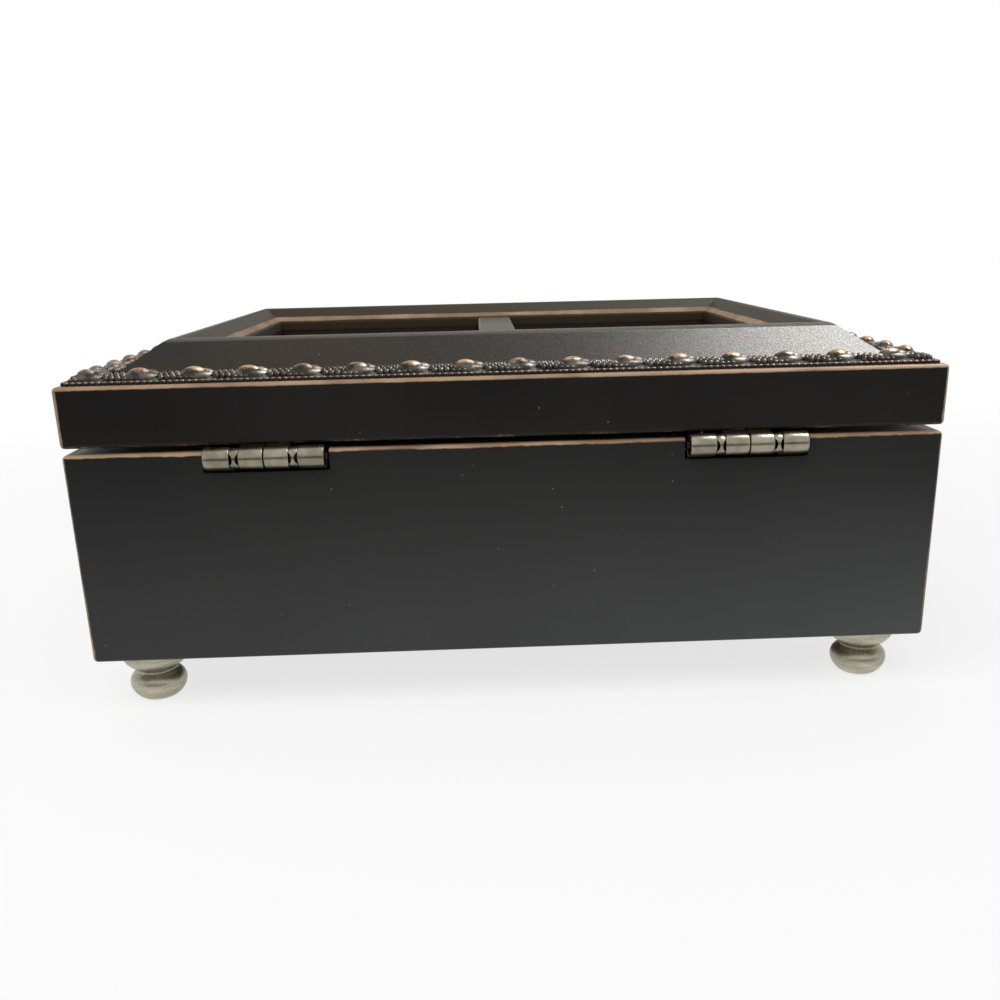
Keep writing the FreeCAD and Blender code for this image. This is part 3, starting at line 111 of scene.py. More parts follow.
# %% A socket that does sums
class Flow:
    """One socket of a material, usable in a sum."""

    def __init__(self, finish, socket):
        self.finish = finish
        self.socket = socket

    def math(self, operation, *others, swapped=False):
        values = (*others, self) if swapped else (self, *others)
        return self.finish.node("Math", {"operation": operation}, dict(enumerate(values)))

    def __add__(self, other):
        return self.math("ADD", other)

    def __sub__(self, other):
        return self.math("SUBTRACT", other)

    def __rsub__(self, other):
        return self.math("SUBTRACT", other, swapped=True)

    def __mul__(self, other):
        return self.math("MULTIPLY", other)

    def __abs__(self):
        return self.math("ABSOLUTE")

    __radd__ = __add__
    __rmul__ = __mul__

    def least(self, other):
        return self.math("MINIMUM", other)

    def most(self, other):
        return self.math("MAXIMUM", other)

    def step(self, low, high):
        """Rises smoothly from 0 at low to 1 at high, or falls if low is the larger."""
        inputs = {"Value": self, "From Min": low, "From Max": high}
        return self.finish.node("MapRange", {"interpolation_type": "SMOOTHSTEP"}, inputs)


# %% A finish and its patterns
class Finish:
    """A material built around one Principled shader."""

    def __init__(self, name):
        self.material = bpy.data.materials.new(name)
        self.material.use_nodes = True
        self.tree = self.material.node_tree
        self.shader = self.tree.nodes["Principled BSDF"]
        coordinates = self.tree.nodes.new("ShaderNodeTexCoord")
        self.spot = Flow(self, coordinates.outputs["Object"])

    def node(self, kind, settings=None, inputs=None, output=0):
        """Add a node, set it, feed its sockets and return one of its outputs."""
        made = self.tree.nodes.new("ShaderNode" + kind)
        for key, value in (settings or {}).items():
            setattr(made, key, value)
        for key, value in (inputs or {}).items():
            self.feed(made.inputs[key], value)
        return Flow(self, made.outputs[output])

    def feed(self, socket, value):
        """Link a flow to a socket, or set a plain value on it."""
        if isinstance(value, Flow):
            self.tree.links.new(value.socket, socket)
        elif isinstance(value, tuple) and len(value) == 3 and socket.type == "RGBA":
            socket.default_value = (*value, 1)
        else:
            socket.default_value = value

    def set(self, **sockets):
        """Feed the shader: an underscore in a name stands for a space."""
        for key, value in sockets.items():
            self.feed(self.shader.inputs[key.replace("_", " ")], value)

    def axes(self):
        """The place's x, y and z as three flows."""
        parts = self.node("SeparateXYZ", inputs={0: self.spot}).socket.node.outputs
        return [Flow(self, part) for part in parts]

    def stretched(self, x, y, z):
        """The place with its axes scaled, for patterns that run one way."""
        return self.node("VectorMath", {"operation": "MULTIPLY"}, {0: self.spot, 1: (x, y, z)})

    def noise(self, scale, detail=2.0, where=None):
        """Cloudy noise from about 0.3 to 0.7."""
        inputs = {"Vector": where or self.spot, "Scale": scale, "Detail": detail}
        return self.node("TexNoise", inputs=inputs)

    def specks(self, scale, radius, share, where=None):
        """Round specks, one in some of the cells of a loose grid."""
        inputs = {"Vector": where or self.spot, "Scale": scale}
        cells = self.node("TexVoronoi", inputs=inputs)
        near = cells.step(radius, radius * 0.5)
        tint = Flow(self, cells.socket.node.outputs["Color"])
        lot = self.node("SeparateColor", inputs={0: tint})
        return near * lot.math("LESS_THAN", share)

    def blend(self, factor, below, above):
        """One colour laid over another."""
        settings = {"data_type": "RGBA"}
        return self.node("Mix", settings, {0: factor, 6: below, 7: above}, output=2)

    def bump(self, height, depth, strength=1.0):
        """Raise the surface by a height pattern, its full depth in metres."""
        inputs = {"Height": height, "Distance": depth, "Strength": strength}
        self.feed(self.shader.inputs["Normal"], self.node("Bump", inputs=inputs))
        return self


print("finish tools ready")

# %% [markdown]
# ## The rubbed black paint
#
# The case and the lid are wood under a brown black satin paint. The maker rubbed the paint
# through along every edge, so a tan undercoat shows there, broken up where the hand
# pressed less. The rubbing could be drawn as an image, but it follows the box's own edges,
# so it is worked out: how far a point is in from the outer face, and how far it is from
# the nearest edge. Noise then frays the border of the rubbed line. On the lid, the slope
# keeps a thin grainy varnish, and the fall to the windows is browner and duller.
# The case also gets a painted reflection: a grey laid on where it would mirror the pale floor,
# stronger towards its foot.

# %% How far a point is from the edges
def from_sides(finish):
    """Distances to the nearest x face and the nearest y face of the case and lid."""
    x, y, z = finish.axes()
    return HALF_X - abs(x), HALF_Y - abs(y - MIDDLE), z


def frayed(finish, distance, width, ragged=0.5, scale=120.0):
    """1 on an edge and 0 beyond its width, with a torn border."""
    tear = finish.noise(scale, 4.0) - 0.5
    fine = finish.noise(scale * 9, 2.0) - 0.5
    worn = distance + tear * (width * ragged * 4) + fine * (width * ragged * 2)
    return worn.step(width, width * 0.6)


# %% The paint itself
TAN_DARK, TAN_LIGHT = (0.235, 0.15, 0.09), (0.385, 0.26, 0.165)
FLOOR_REFLECTION_GREY, LINT = (0.060, 0.062, 0.062), (0.5, 0.48, 0.45)
VARNISH, INNER_BROWN = (0.018, 0.0125, 0.005), (0.030, 0.022, 0.012)
# Places in metres: where the lid's slope starts above the trim, its crest and the fall behind
# it, how far in and up the sight edge lies, and how far out and up the bar's upper edges do
SLOPE_FOOT, SLOPE_ON = 0.0012, 0.0018
CREST, FALL_IN, FALL_ON = 0.0256, 0.0258, 0.0268
SIGHT_IN, SIGHT_UP = 0.0314, 0.0996
BAR_OUT, BAR_UP = 0.0062, 0.0986


def black_paint(name, dark, light, rough, rubs, painted_reflection=None, coat=None, tint=(1, 1, 1)):
    """Satin black paint over a tan undercoat; rubs gives the mask from the edges."""
    finish = Finish(name)
    across, along, z = from_sides(finish)
    rubbed = rubs(finish, across, along, z)
    cloud = finish.noise(14, 3.0)
    peel = finish.noise(1500, 2.0)
    gathered = finish.noise(17, 2.0).step(0.46, 0.6)
    dust = finish.specks(330, 0.085, 0.22) * gathered
    lint = finish.specks(110, 0.035, 0.25, finish.stretched(1, 1, 0.4))
    colour = finish.blend(cloud.step(0.35, 0.65), dark, light)
    matt = (cloud - 0.5) * 0.1 + rubbed * 0.14
    # Painted reflection: a grey laid over the colour where the case would mirror the pale floor
    if painted_reflection:
        colour = finish.blend(painted_reflection(finish, z), colour, FLOOR_REFLECTION_GREY)
    if coat:
        above = (z - RIM_TOP).step(SLOPE_FOOT, SLOPE_ON)
        colour = finish.blend(above * cloud.step(0.3, 0.7), colour, VARNISH)
        inner = across.least(along).step(FALL_IN, FALL_ON) * above
        colour = finish.blend(inner, colour, INNER_BROWN)
        matt = matt + inner * 0.3
    bare = finish.blend(finish.noise(70, 4.0).step(0.3, 0.7), TAN_DARK, TAN_LIGHT)
    colour = finish.blend(rubbed, colour, bare)
    colour = finish.blend(dust.most(lint) * 0.3, colour, LINT)
    finish.set(Base_Color=colour, Roughness=rough + matt, Specular_IOR_Level=0.17,
               Specular_Tint=tint)
    if coat:
        finish.set(Coat_Weight=coat(finish, z) * (1 - rubbed.most(inner)), Coat_Roughness=0.33)
    return finish.bump(peel - rubbed * 0.8, 0.00006, 0.45).material


def case_rubs(finish, across, along, z):
    """The case is rubbed along its corners, its top edge and, less, round its foot."""
    inward = across.least(along)
    corner = frayed(finish, across.most(along), 0.00095, 0.3, 60) * 0.75
    top = frayed(finish, (inward * 0.4).most(CASE_TOP - z), 0.00095, 0.26, 60)
    outer = (inward + (finish.noise(60, 4.0) - 0.5) * 0.002).step(0.0031, 0.0024)
    rim = (CASE_TOP - z).step(0.0009, 0.0003) * outer
    foot = frayed(finish, inward.most(z - CASE_BASE), 0.0003, 1.2)
    return corner.most(top).most(foot * 0.6).most(rim * 0.9)


def case_floor_reflection(finish, z):
    """A painted reflection of the pale floor: grey laid over the case, stronger towards its foot
    and towards -X, in patches.
    """
    x = finish.axes()[0] * -1
    side = x.step(-0.16, 0.2) * 0.5 + 0.55 + x.step(0.02, 0.14) * 0.2
    patches = finish.noise(22, 3.0) * 0.5 + 0.75
    return z.step(CASE_TOP + 0.012, CASE_BASE - 0.02) * side * patches


def lid_rubs(finish, across, along, z):
    """The lid is rubbed along the rim's top edge and corners and round the windows."""
    inward = across.least(along)
    top = frayed(finish, inward.most(RIM_TOP - z), 0.00105, 0.10, 60)
    shelf = (inward - 0.0001).step(0.0026, 0.0022) * (z - RIM_TOP + 0.0004).step(0, 0.0003)
    corner = frayed(finish, across.most(along), 0.0012, 0.22, 60) * 0.9
    foot = frayed(finish, inward.most(z - LID_FOOT), 0.0004, 1.2)
    high = (z - RIM_TOP).step(0.001, 0.003)
    edge = abs(inward - SIGHT_IN) * 0.7 + abs(z - SIGHT_UP) * 0.4
    sight = frayed(finish, edge, 0.0011, 0.14, 40)
    crest = frayed(finish, abs(inward - CREST), 0.00030, 1.8, 60)
    return top.most(shelf * 0.9).most(corner).most(foot * 0.3).most(
        (sight * 0.95).most(crest * 0.3) * high
    )


def slope_coat(finish, z):
    """The slope above the trim keeps a grainy varnish, worn thinner towards +X."""
    grain = finish.noise(2600, 2.0) * 1.7 - 0.6
    side = (finish.axes()[0] * -1).step(-0.10, 0.04) * 0.7 + 0.3
    return (z - RIM_TOP).step(SLOPE_FOOT, SLOPE_ON) * grain.most(0) * side


def bar_rubs(finish, across, along, z):
    """The bar between the windows is rubbed thinly along its two upper edges."""
    x = finish.axes()[0]
    return frayed(finish, abs(abs(x) - BAR_OUT) + abs(z - BAR_UP), 0.0007, 0.9, 60) * 0.6


case_paint = black_paint("case_paint", (0.009, 0.0082, 0.008), (0.0135, 0.0125, 0.012), 0.33,
                         case_rubs, painted_reflection=case_floor_reflection)
lid_paint = black_paint("lid_paint", (0.0084, 0.0073, 0.0068), (0.0128, 0.0113, 0.0106), 0.32,
                        lid_rubs, coat=slope_coat, tint=(1, 0.93, 0.82))
bar_paint = black_paint("bar_paint", (0.045, 0.034, 0.021), (0.07, 0.054, 0.035), 0.5,
                        bar_rubs, tint=(1, 0.88, 0.7))
print("paints:", case_paint.name, lid_paint.name)

# %% [markdown]
# ## The other finishes
#
# The trim on the lid is cast in a pewter grey, darkened in its hollows and rubbed to copper
# on its highest parts, so its colour follows height. The feet are sprayed in a champagne
# metal paint. The hinges are nickel with fine turning lines round their barrels. Under the
# lid are cloth, felt, glass, board and the movement's metals.

# %% Trim, feet and hinge metal
def trim_metal():
    """Pewter in the hollows, copper where the hand rubbed, both quite shiny."""
    finish = Finish("trim_metal")
    across, along, z = from_sides(finish)
    height = z - RIM_TOP
    wander = (finish.noise(300, 3.0) - 0.5) * 0.0030
    high = (height + wander).step(0.0030, 0.0037)
    low = (height + wander * 0.4).step(0.0020, 0.0008)
    string = across.least(along).step(0.0033, 0.0030) * height.step(0.0007, 0.00105)
    tarnish = finish.noise(240, 3.0).step(0.42, 0.6)
    pewter = finish.blend(tarnish, (0.034, 0.029, 0.023), (0.105, 0.095, 0.08))
    colour = finish.blend(low, pewter, (0.016, 0.0135, 0.011))
    copper = finish.blend(finish.noise(420, 2.0).step(0.4, 0.62), (0.22, 0.12, 0.065),
                          (0.50, 0.32, 0.20))
    colour = finish.blend(high.most(string * 0.7), colour, copper)
    rough = 0.26 + finish.noise(600, 2.0) * 0.22
    finish.set(Base_Color=colour, Metallic=0.8 - low * 0.6, Roughness=rough,
               Specular_IOR_Level=0.3)
    cast = finish.noise(1300, 2.0) * 0.3 + finish.noise(520, 2.0)
    return finish.bump(cast, 0.0002, 0.6).material


def champagne_paint():
    """A warm metal paint, a little streaked by the brush round the turning."""
    finish = Finish("champagne_paint")
    streak = finish.noise(90, 4.0, finish.stretched(1, 1, 5))
    flake = finish.noise(2300, 2.0)
    colour = finish.blend(streak.step(0.32, 0.68), (0.33, 0.305, 0.222), (0.51, 0.48, 0.365))
    height = finish.axes()[2]
    # Painted shade and dark reflection: a dark band round the neck and the top of the ball, under
    # the flange
    painted_neck_shade = height.step(0.0108, 0.0092) * height.step(0.0060, 0.0084)
    colour = finish.blend(painted_neck_shade * 0.42, colour, (0.085, 0.07, 0.045))
    colour = finish.blend(flake.step(0.56, 0.66) * 0.4, colour, (0.75, 0.72, 0.60))
    finish.set(Base_Color=colour, Metallic=0.85, Roughness=0.22 + flake * 0.3)
    return finish.bump(flake, 0.00004, 0.5).material


def turned_metal(name, dull, bright, rough, metallic=1.0, lines=2200, barrel=None):
    """Metal with fine lines across X, as left by a lathe or a rolling mill.

    With the y, z and radius of a barrel, painted shade lies outside it and deep inside it.
    """
    finish = Finish(name)
    line = finish.noise(1.0, 2.0, finish.stretched(lines, lines * 0.02, lines * 0.02))
    smear = finish.noise(180, 3.0)
    colour = finish.blend(smear.step(0.34, 0.66), dull, bright)
    if barrel:
        _, y, z = finish.axes()
        middle_y, middle_z, radius = barrel
        away = (y - middle_y).math("POWER", 2) + (z - middle_z).math("POWER", 2)
        away = away.math("SQRT")
        # Painted shade: near black on the plates and necks in the notch, and round the pin and in
        # the webs' slots
        painted_shade = away.step(radius, radius + 0.00015).most(away.step(0.0025, 0.0022))
        colour = finish.blend(painted_shade * 0.93, colour, (0.012, 0.011, 0.009))
    finish.set(Base_Color=colour, Metallic=metallic, Roughness=rough + line * 0.16)
    return finish.bump(line, 0.00001, 0.35).material


trim_finish = trim_metal()
foot_finish = champagne_paint()
_, PIN_Y, PIN_Z = middle_of("hinge_left_pin")
nickel = turned_metal("nickel", (0.21, 0.19, 0.15), (0.38, 0.35, 0.29), 0.22)
hinge_nickel = turned_metal("hinge_nickel", (0.23, 0.205, 0.155), (0.35, 0.318, 0.25), 0.22,
                            1.0, 1800, (PIN_Y, PIN_Z, 0.0031))
steel = turned_metal("bright_steel", (0.42, 0.42, 0.43), (0.6, 0.6, 0.61), 0.18)
comb_steel = turned_metal("comb_steel", (0.2, 0.21, 0.24), (0.36, 0.37, 0.4), 0.28, 1.0, 900)
brass = turned_metal("brass", (0.42, 0.27, 0.08), (0.68, 0.48, 0.17), 0.22)
cast_bed = turned_metal("cast_bed", (0.17, 0.17, 0.18), (0.3, 0.3, 0.31), 0.42, 0.8, 300)
print("metals:", trim_finish.name, nickel.name, brass.name)


# %% Cloth, felt, board, card, glass and moulded gears
def soft_cloth(name, dark, light, nap):
    """Flocked cloth: short pile that catches light at its edges, brushed in patches."""
    finish = Finish(name)
    patch = finish.noise(32, 3.0)
    pile = finish.noise(nap, 2.0)
    colour = finish.blend((patch * 0.6 + pile * 0.4).step(0.36, 0.64), dark, light)
    finish.set(Base_Color=colour, Roughness=0.9, Sheen_Weight=0.6, Sheen_Roughness=0.35,
               Specular_IOR_Level=0.2)
    return finish.bump(pile, 0.00025, 0.7).material


def plain_board():
    """The pressed board behind the pictures, speckled with fibres."""
    finish = Finish("bare_board")
    fibre = finish.noise(1500, 4.0, finish.stretched(1, 0.5, 1))
    colour = finish.blend(fibre.step(0.38, 0.62), (0.05, 0.037, 0.026), (0.115, 0.085, 0.058))
    finish.set(Base_Color=colour, Roughness=0.75 + fibre * 0.15)
    return finish.bump(fibre, 0.00012, 0.6).material


def picture_card():
    """The plain card that fills each window until a picture goes in."""
    finish = Finish("picture_card")
    tooth = finish.noise(2100, 3.0)
    band = finish.noise(9, 1.0, finish.stretched(1, 0.2, 1))
    colour = finish.blend(band.step(0.3, 0.7), (0.036, 0.026, 0.014), (0.075, 0.055, 0.031))
    finish.set(Base_Color=colour, Roughness=0.7 + tooth * 0.2)
    return finish.bump(tooth, 0.00008, 0.5).material


def window_glass():
    """Clear glass with a trace of dust."""
    finish = Finish("window_glass")
    dust = finish.noise(45, 5.0).step(0.5, 0.8)
    finish.set(Base_Color=(0.93, 0.95, 0.94), Roughness=0.02 + dust * 0.08,
               Transmission_Weight=1.0, IOR=1.5)
    return finish.material


def moulded_gear():
    """Cream coloured plastic with soft mottling."""
    finish = Finish("moulded_gear")
    cloud = finish.noise(300, 2.0)
    colour = finish.blend(cloud.step(0.35, 0.65), (0.62, 0.57, 0.46), (0.74, 0.70, 0.60))
    finish.set(Base_Color=colour, Roughness=0.4 + cloud * 0.1)
    return finish.bump(cloud, 0.00003, 0.3).material


lining = soft_cloth("lining_cloth", (0.012, 0.010, 0.0095), (0.032, 0.028, 0.026), 1500.0)
cushion = soft_cloth("cushion_cloth", (0.016, 0.013, 0.012), (0.042, 0.036, 0.033), 1300.0)
felt = soft_cloth("felt", (0.02, 0.018, 0.016), (0.05, 0.045, 0.04), 1100.0)
board = plain_board()
card = picture_card()
glass = window_glass()
gear_plastic = moulded_gear()
print("soft and clear finishes:", lining.name, felt.name, glass.name)

# %% [markdown]
# ## Tools for shapes
#
# Pieces are modelled as by hand: a primitive goes in at its size and place, and edit mode
# shapes it. Operators act on whatever is selected, so each piece is first made the only
# one selected, and its edges are then picked in code by where they are.


# %% Start, edit and finish a piece
def start():
    """Leave edit mode and deselect everything."""
    if bpy.context.object and bpy.context.object.mode != "OBJECT":
        bpy.ops.object.mode_set(mode="OBJECT")
    bpy.ops.object.select_all(action="DESELECT")


def choose(piece):
    """Leave edit mode, and make one piece the only one selected and the active one."""
    start()
    piece.select_set(True)
    bpy.context.view_layer.objects.active = piece


def modify(piece, kind, **settings):
    """Put a modifier on a piece, set it and apply it."""
    choose(piece)
    modifier = piece.modifiers.new(kind.lower(), kind)
    for key, value in settings.items():
        setattr(modifier, key, value)
    bpy.ops.object.modifier_apply(modifier=modifier.name)


def settle(piece):
    """Move the piece's place, turn and size into its mesh."""
    choose(piece)
    bpy.ops.object.transform_apply(location=True, rotation=True, scale=True)
    return piece


def open_mesh(piece):
    """Edit the piece with nothing in it selected."""
    choose(piece)
    bpy.ops.object.mode_set(mode="EDIT")
    bpy.ops.mesh.select_mode(type="VERT")
    bpy.ops.mesh.select_all(action="DESELECT")


def sized(size=(1, 1, 1)):
    """Give the primitive that was just added its size, and edit it with all of it selected."""
    piece = bpy.context.object
    piece.scale = size
    open_mesh(settle(piece))
    bpy.ops.mesh.select_all(action="SELECT")
    return piece


def block(low, high, round_edges=0.25, segments=2):
    """A block between two corners in metres, its edges rounded."""
    low, high = Vector(low), Vector(high)
    start()
    bpy.ops.mesh.primitive_cube_add(size=1, location=(low + high) / 2)
    piece = sized(high - low)
    if round_edges:
        bpy.ops.mesh.bevel(offset=round_edges * MM, segments=segments, affect="EDGES")
    bpy.ops.object.mode_set(mode="OBJECT")
    return piece


def pick_edges(piece, test):
    """In edit mode, select the edges whose two ends pass a test, and count them."""
    bpy.ops.mesh.select_mode(type="EDGE")
    bpy.ops.mesh.select_all(action="DESELECT")
    mesh = bmesh.from_edit_mesh(piece.data)
    found = [edge for edge in mesh.edges if test([end.co for end in edge.verts])]
    for edge in found:
        edge.select_set(True)
    bmesh.update_edit_mesh(piece.data)
    return len(found)


def joined(pieces, name):
    """Several pieces made one."""
    choose(pieces[0])
    for piece in pieces:
        piece.select_set(True)
    bpy.ops.object.join()
    pieces[0].name = name
    return pieces[0]


def close_mesh(piece, name, finish, smooth=35.0, flats=False):
    """Turn the faces outwards, shade by angle, name the piece and give it its finish.

    With flats, the large flat faces keep their own direction and only the bevels shade round.
    """
    if bpy.context.mode != "EDIT_MESH":
        open_mesh(piece)
    bpy.ops.mesh.select_mode(type="VERT")
    bpy.ops.mesh.select_all(action="SELECT")
    bpy.ops.mesh.remove_doubles(threshold=1e-6)
    bpy.ops.mesh.normals_make_consistent(inside=False)
    bpy.ops.object.mode_set(mode="OBJECT")
    bpy.ops.object.shade_smooth_by_angle(angle=math.radians(smooth))
    if flats:
        modify(piece, "WEIGHTED_NORMAL", keep_sharp=True)
    piece.name = piece.data.name = name
    piece.data.materials.clear()
    piece.data.materials.append(finish)


def fit_out(piece, body, slot, *nodes):
    """Let a piece ride on a body and hide the solids it stands for; slot is not used."""
    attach(piece, body)
    if nodes:
        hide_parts(*nodes)
    print(piece.name, "on", body, "with", len(piece.data.polygons), "faces")


# %% [markdown]
# ## Mitred rings
#
# The case's four walls, the lid's four rails and the strip under the trim are all the same
# kind of thing: one section that runs round a rectangle with mitred corners. A rectangle
# is extruded from point to point of the section, made smaller by what the section moves
# in, and the last loop is bridged to the first. Its corners are then true mitres.


# %% A section run round a rectangle
def ring(section, base):
    """Extrude a rectangle along a section of (inward, upward) points in millimetres."""
    start()
    inward, upward = section[0]
    bpy.ops.mesh.primitive_plane_add(size=2, location=(0, MIDDLE, base + upward * MM))
    piece = sized((HALF_X - inward * MM, HALF_Y - inward * MM, 1))
    bpy.ops.mesh.delete(type="ONLY_FACE")
    bpy.ops.mesh.select_mode(type="EDGE")
    bpy.ops.mesh.select_all(action="SELECT")
    for before, after in zip(section, section[1:]):
        bpy.ops.mesh.extrude_edges_move()
        bpy.ops.transform.translate(value=(0, 0, (after[1] - before[1]) * MM))
        narrower = [(half - after[0] * MM) / (half - before[0] * MM) for half in (HALF_X, HALF_Y)]
        bpy.ops.transform.resize(value=(*narrower, 1), center_override=(0, MIDDLE, 0))
    bpy.ops.mesh.select_all(action="DESELECT")
    bpy.ops.mesh.select_non_manifold(extend=False)
    bpy.ops.mesh.bridge_edge_loops()
    return piece


# Closer than this, in millimetres, counts as on the spot
NEAR = 0.02


def depths(point):
    """How far in a point lies from the nearest x face and from the nearest y face."""
    return HALF_X - abs(point.x), HALF_Y - abs(point.y - MIDDLE)


def inward_of(point):
    """How far in a point lies from the nearest outer face, in millimetres."""
    return min(depths(point)) / MM


def on_mitre(point):
    """Whether a point lies on a corner's mitre."""
    across, along = depths(point)
    return abs(across - along) < 1e-5


def loop_at(inward, height):
    """A test for the edges that run round the ring at one place of its section."""
    return lambda corners: all(
        abs(inward_of(c) - inward) < NEAR and abs(c.z / MM - height) < NEAR for c in corners
    )


def corners_between(low, high):
    """A test for the upright edges at the outer corners, between two heights."""
    return lambda corners: all(
        on_mitre(c) and inward_of(c) <= NEAR and low - NEAR <= c.z / MM <= high + NEAR
        for c in corners
    )


def soften(piece, test, radius, segments=3):
    """Round the edges that pass a test."""
    count = pick_edges(piece, test)
    if count:
        bpy.ops.mesh.bevel(offset=radius * MM, segments=segments, affect="EDGES",
                           clamp_overlap=True)
    return count


print("shape tools ready")

# %% [markdown]
# ## The case
#
# The case is four boards glued at their mitres and painted as one, so it is one piece here.
# Its foot is rebated for the bottom panel. Round corners are what make painted wood look
# real: the upright corners and the top edge are rounded more than the foot. The two
# hinge notches are cut last, with a block for each, as a router would.

# %% Case shell
FOOT_AT, TOP_AT, WALL = 16, 76, 11
REBATE_IN, REBATE_TOP = 5, 24
case = ring([(0, FOOT_AT), (REBATE_IN, FOOT_AT), (REBATE_IN, REBATE_TOP), (WALL, REBATE_TOP),
             (WALL, TOP_AT), (0, TOP_AT)], 0)
soften(case, corners_between(FOOT_AT, TOP_AT), 1.3, 4)
soften(case, loop_at(0, TOP_AT), 2.3, 5)
soften(case, loop_at(WALL, TOP_AT), 0.6, 2)
soften(case, loop_at(0, FOOT_AT), 0.5, 2)
close_mesh(case, "case_shell", case_paint)


# %% Hinge notches
def subtract(piece, tool):
    """Take one closed shape away from another."""
    modify(piece, "BOOLEAN", operation="DIFFERENCE", solver="EXACT", object=tool)
    bpy.data.objects.remove(tool)


NOTCH_HALF, NOTCH_DEEP = 17.05 * MM, 14 * MM
notches = []
for hand in ("left", "right"):
    node = f"hinge_{hand}_lower_leaf"
    middle, _, _ = middle_of(node)
    low = (middle - NOTCH_HALF, BACK - NOTCH_DEEP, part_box(node)[0].z)
    high = (middle + NOTCH_HALF, BACK + 3 * MM, CASE_TOP + 4 * MM)
    subtract(case, block(low, high, 0.5, 3))
    notches.append(middle)


def notch_edge(middle):
    """A test for a notch's lower edges in the back's outer face."""
    return lambda corners: all(
        abs(c.y - BACK) < 1e-5 and abs(c.x - middle) < NOTCH_HALF + 0.15 * MM
        and c.z < CASE_TOP - 2.5 * MM for c in corners
    ) and any(c.z < CASE_TOP - 5 * MM for c in corners)


open_mesh(case)
for middle in notches:
    print("notch edges softened:", soften(case, notch_edge(middle), 0.45, 2))
close_mesh(case, "case_shell", case_paint, 40, flats=True)
fit_out(case, "case", "rubbed_black_paint", "front_wall", "back_wall", "left_wall", "right_wall")

# %% [markdown]
# ## The lid's moulding
#
# The lid is a picture frame moulding: an upright rim, a narrow ledge that carries the trim,
# a wide slope up to a crest, and a short fall to the windows. The section below is read
# along from the rim's foot, which hangs a little below the frame, through the recess for
# the glass, and back over the top.

# %% Lid moulding
LEDGE, GLASS_IN = 15.8, 22
SIGHT, FALL, BROW = (33, 20.5), (26.8, 25.7), (24.1, 25.2)
lid = ring(
    [(0, -SKIRT), (11, -SKIRT), (11, 0), (GLASS_IN, 0), (GLASS_IN, 11.4), (31, 11.4),
     (31, 17), (33, 17), SIGHT, FALL, (25.6, 25.7), BROW, (13, 17.4), (13, LEDGE), (0, LEDGE)],
    LID_BASE,
)
LID_MM = LID_BASE / MM
soften(lid, corners_between(LID_MM - SKIRT, LID_MM + LEDGE), 1.2, 4)
for (inward, upward), radius, segments in (
    ((0, LEDGE), 1.5, 4), ((0, -SKIRT), 0.9, 3), ((GLASS_IN, 0), 0.5, 2),
    (SIGHT, 0.7, 3), (FALL, 0.8, 3), (BROW, 0.9, 3),
):
    soften(lid, loop_at(inward, LID_MM + upward), radius, segments)
close_mesh(lid, "lid_moulding", lid_paint, 40, flats=True)
fit_out(lid, "lid", "rubbed_black_paint", "lid_front_rail", "lid_back_rail", "lid_left_rail",
        "lid_right_rail")

# %% Mullion
bar_low, bar_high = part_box("mullion")
bar = block(bar_low, bar_high, 0)
open_mesh(bar)
soften(bar, lambda c: all(p.z > bar_high.z - 1e-5 for p in c) and abs(c[0].x - c[1].x) < 1e-5,
       1.0, 4)
close_mesh(bar, "mullion_bar", bar_paint, 40, flats=True)
fit_out(bar, "lid", "rubbed_black_paint", "mullion")

# %% [markdown]
# ## The trim
#
# A cast strip runs round the lid: a low band, a string of tiny beads along its outer edge,
# and pointed ovals with little beads packed between them. One repeat is modelled and an
# Array modifier sets the row. Each row is then cut and closed at the mitres, as the real
# strips are.

# %% The band under the beads
BAND_OUT, BAND_WIDE, BAND_TOP, CROWN = 2.2, 10.7, 16.5, 0.75
arch = [(BAND_OUT + BAND_WIDE * k / 6, BAND_TOP + CROWN * (1 - (2 * k / 6 - 1) ** 2))
        for k in range(6, -1, -1)]
band = ring([(BAND_OUT, LEDGE), (12.9, LEDGE)] + arch, LID_BASE)
close_mesh(band, "trim_band", trim_finish, 40)
fit_out(band, "lid", "rubbed_trim", "trim_front", "trim_back", "trim_left", "trim_right")


# %% One repeat of the pattern
def dome(x, y, z, size_x, size_y, size_z):
    """The upper part of a small ball, at a place in millimetres."""
    start()
    bpy.ops.mesh.primitive_uv_sphere_add(segments=8, ring_count=6, radius=1,
                                         location=Vector((x, y, z)) * MM)
    piece = sized(Vector((size_x, size_y, size_z)) * MM)
    bpy.ops.mesh.bisect(plane_co=Vector((x, y, z - size_z * 0.5)) * MM, plane_no=(0, 0, 1),
                        use_fill=True, clear_inner=True)
    bpy.ops.object.mode_set(mode="OBJECT")
    return piece


def pointed(x, y, z, half_length, half_width, height, around=20):
    """A pointed oval, like half an almond, rounded over its back."""
    start()
    spot = Vector((x, y, z)) * MM
    bpy.ops.mesh.primitive_circle_add(vertices=around, radius=1, fill_type="NGON",
                                      location=spot)
    piece = sized(Vector((half_length, half_width, 1)) * MM)
    mesh = bmesh.from_edit_mesh(piece.data)
    for vertex in mesh.verts:
        reach = abs(vertex.co.x / MM - x) / half_length
        vertex.co.y = y * MM + (vertex.co.y - y * MM) * (1 - 0.35 * reach ** 2)
    bmesh.update_edit_mesh(piece.data)
    for lift, narrow in ((0.45, 0.93), (0.3, 0.82), (0.17, 0.65), (0.08, 0.5)):
        bpy.ops.mesh.extrude_region_move()
        bpy.ops.transform.translate(value=(0, 0, height * lift * MM))
        bpy.ops.transform.resize(value=(narrow, narrow, 1), center_override=spot)
    bpy.ops.mesh.poke()
    bpy.ops.object.mode_set(mode="OBJECT")
    return piece


PITCH, MID_IN, TOP = 14.6, 7.55, RIM_TOP / MM
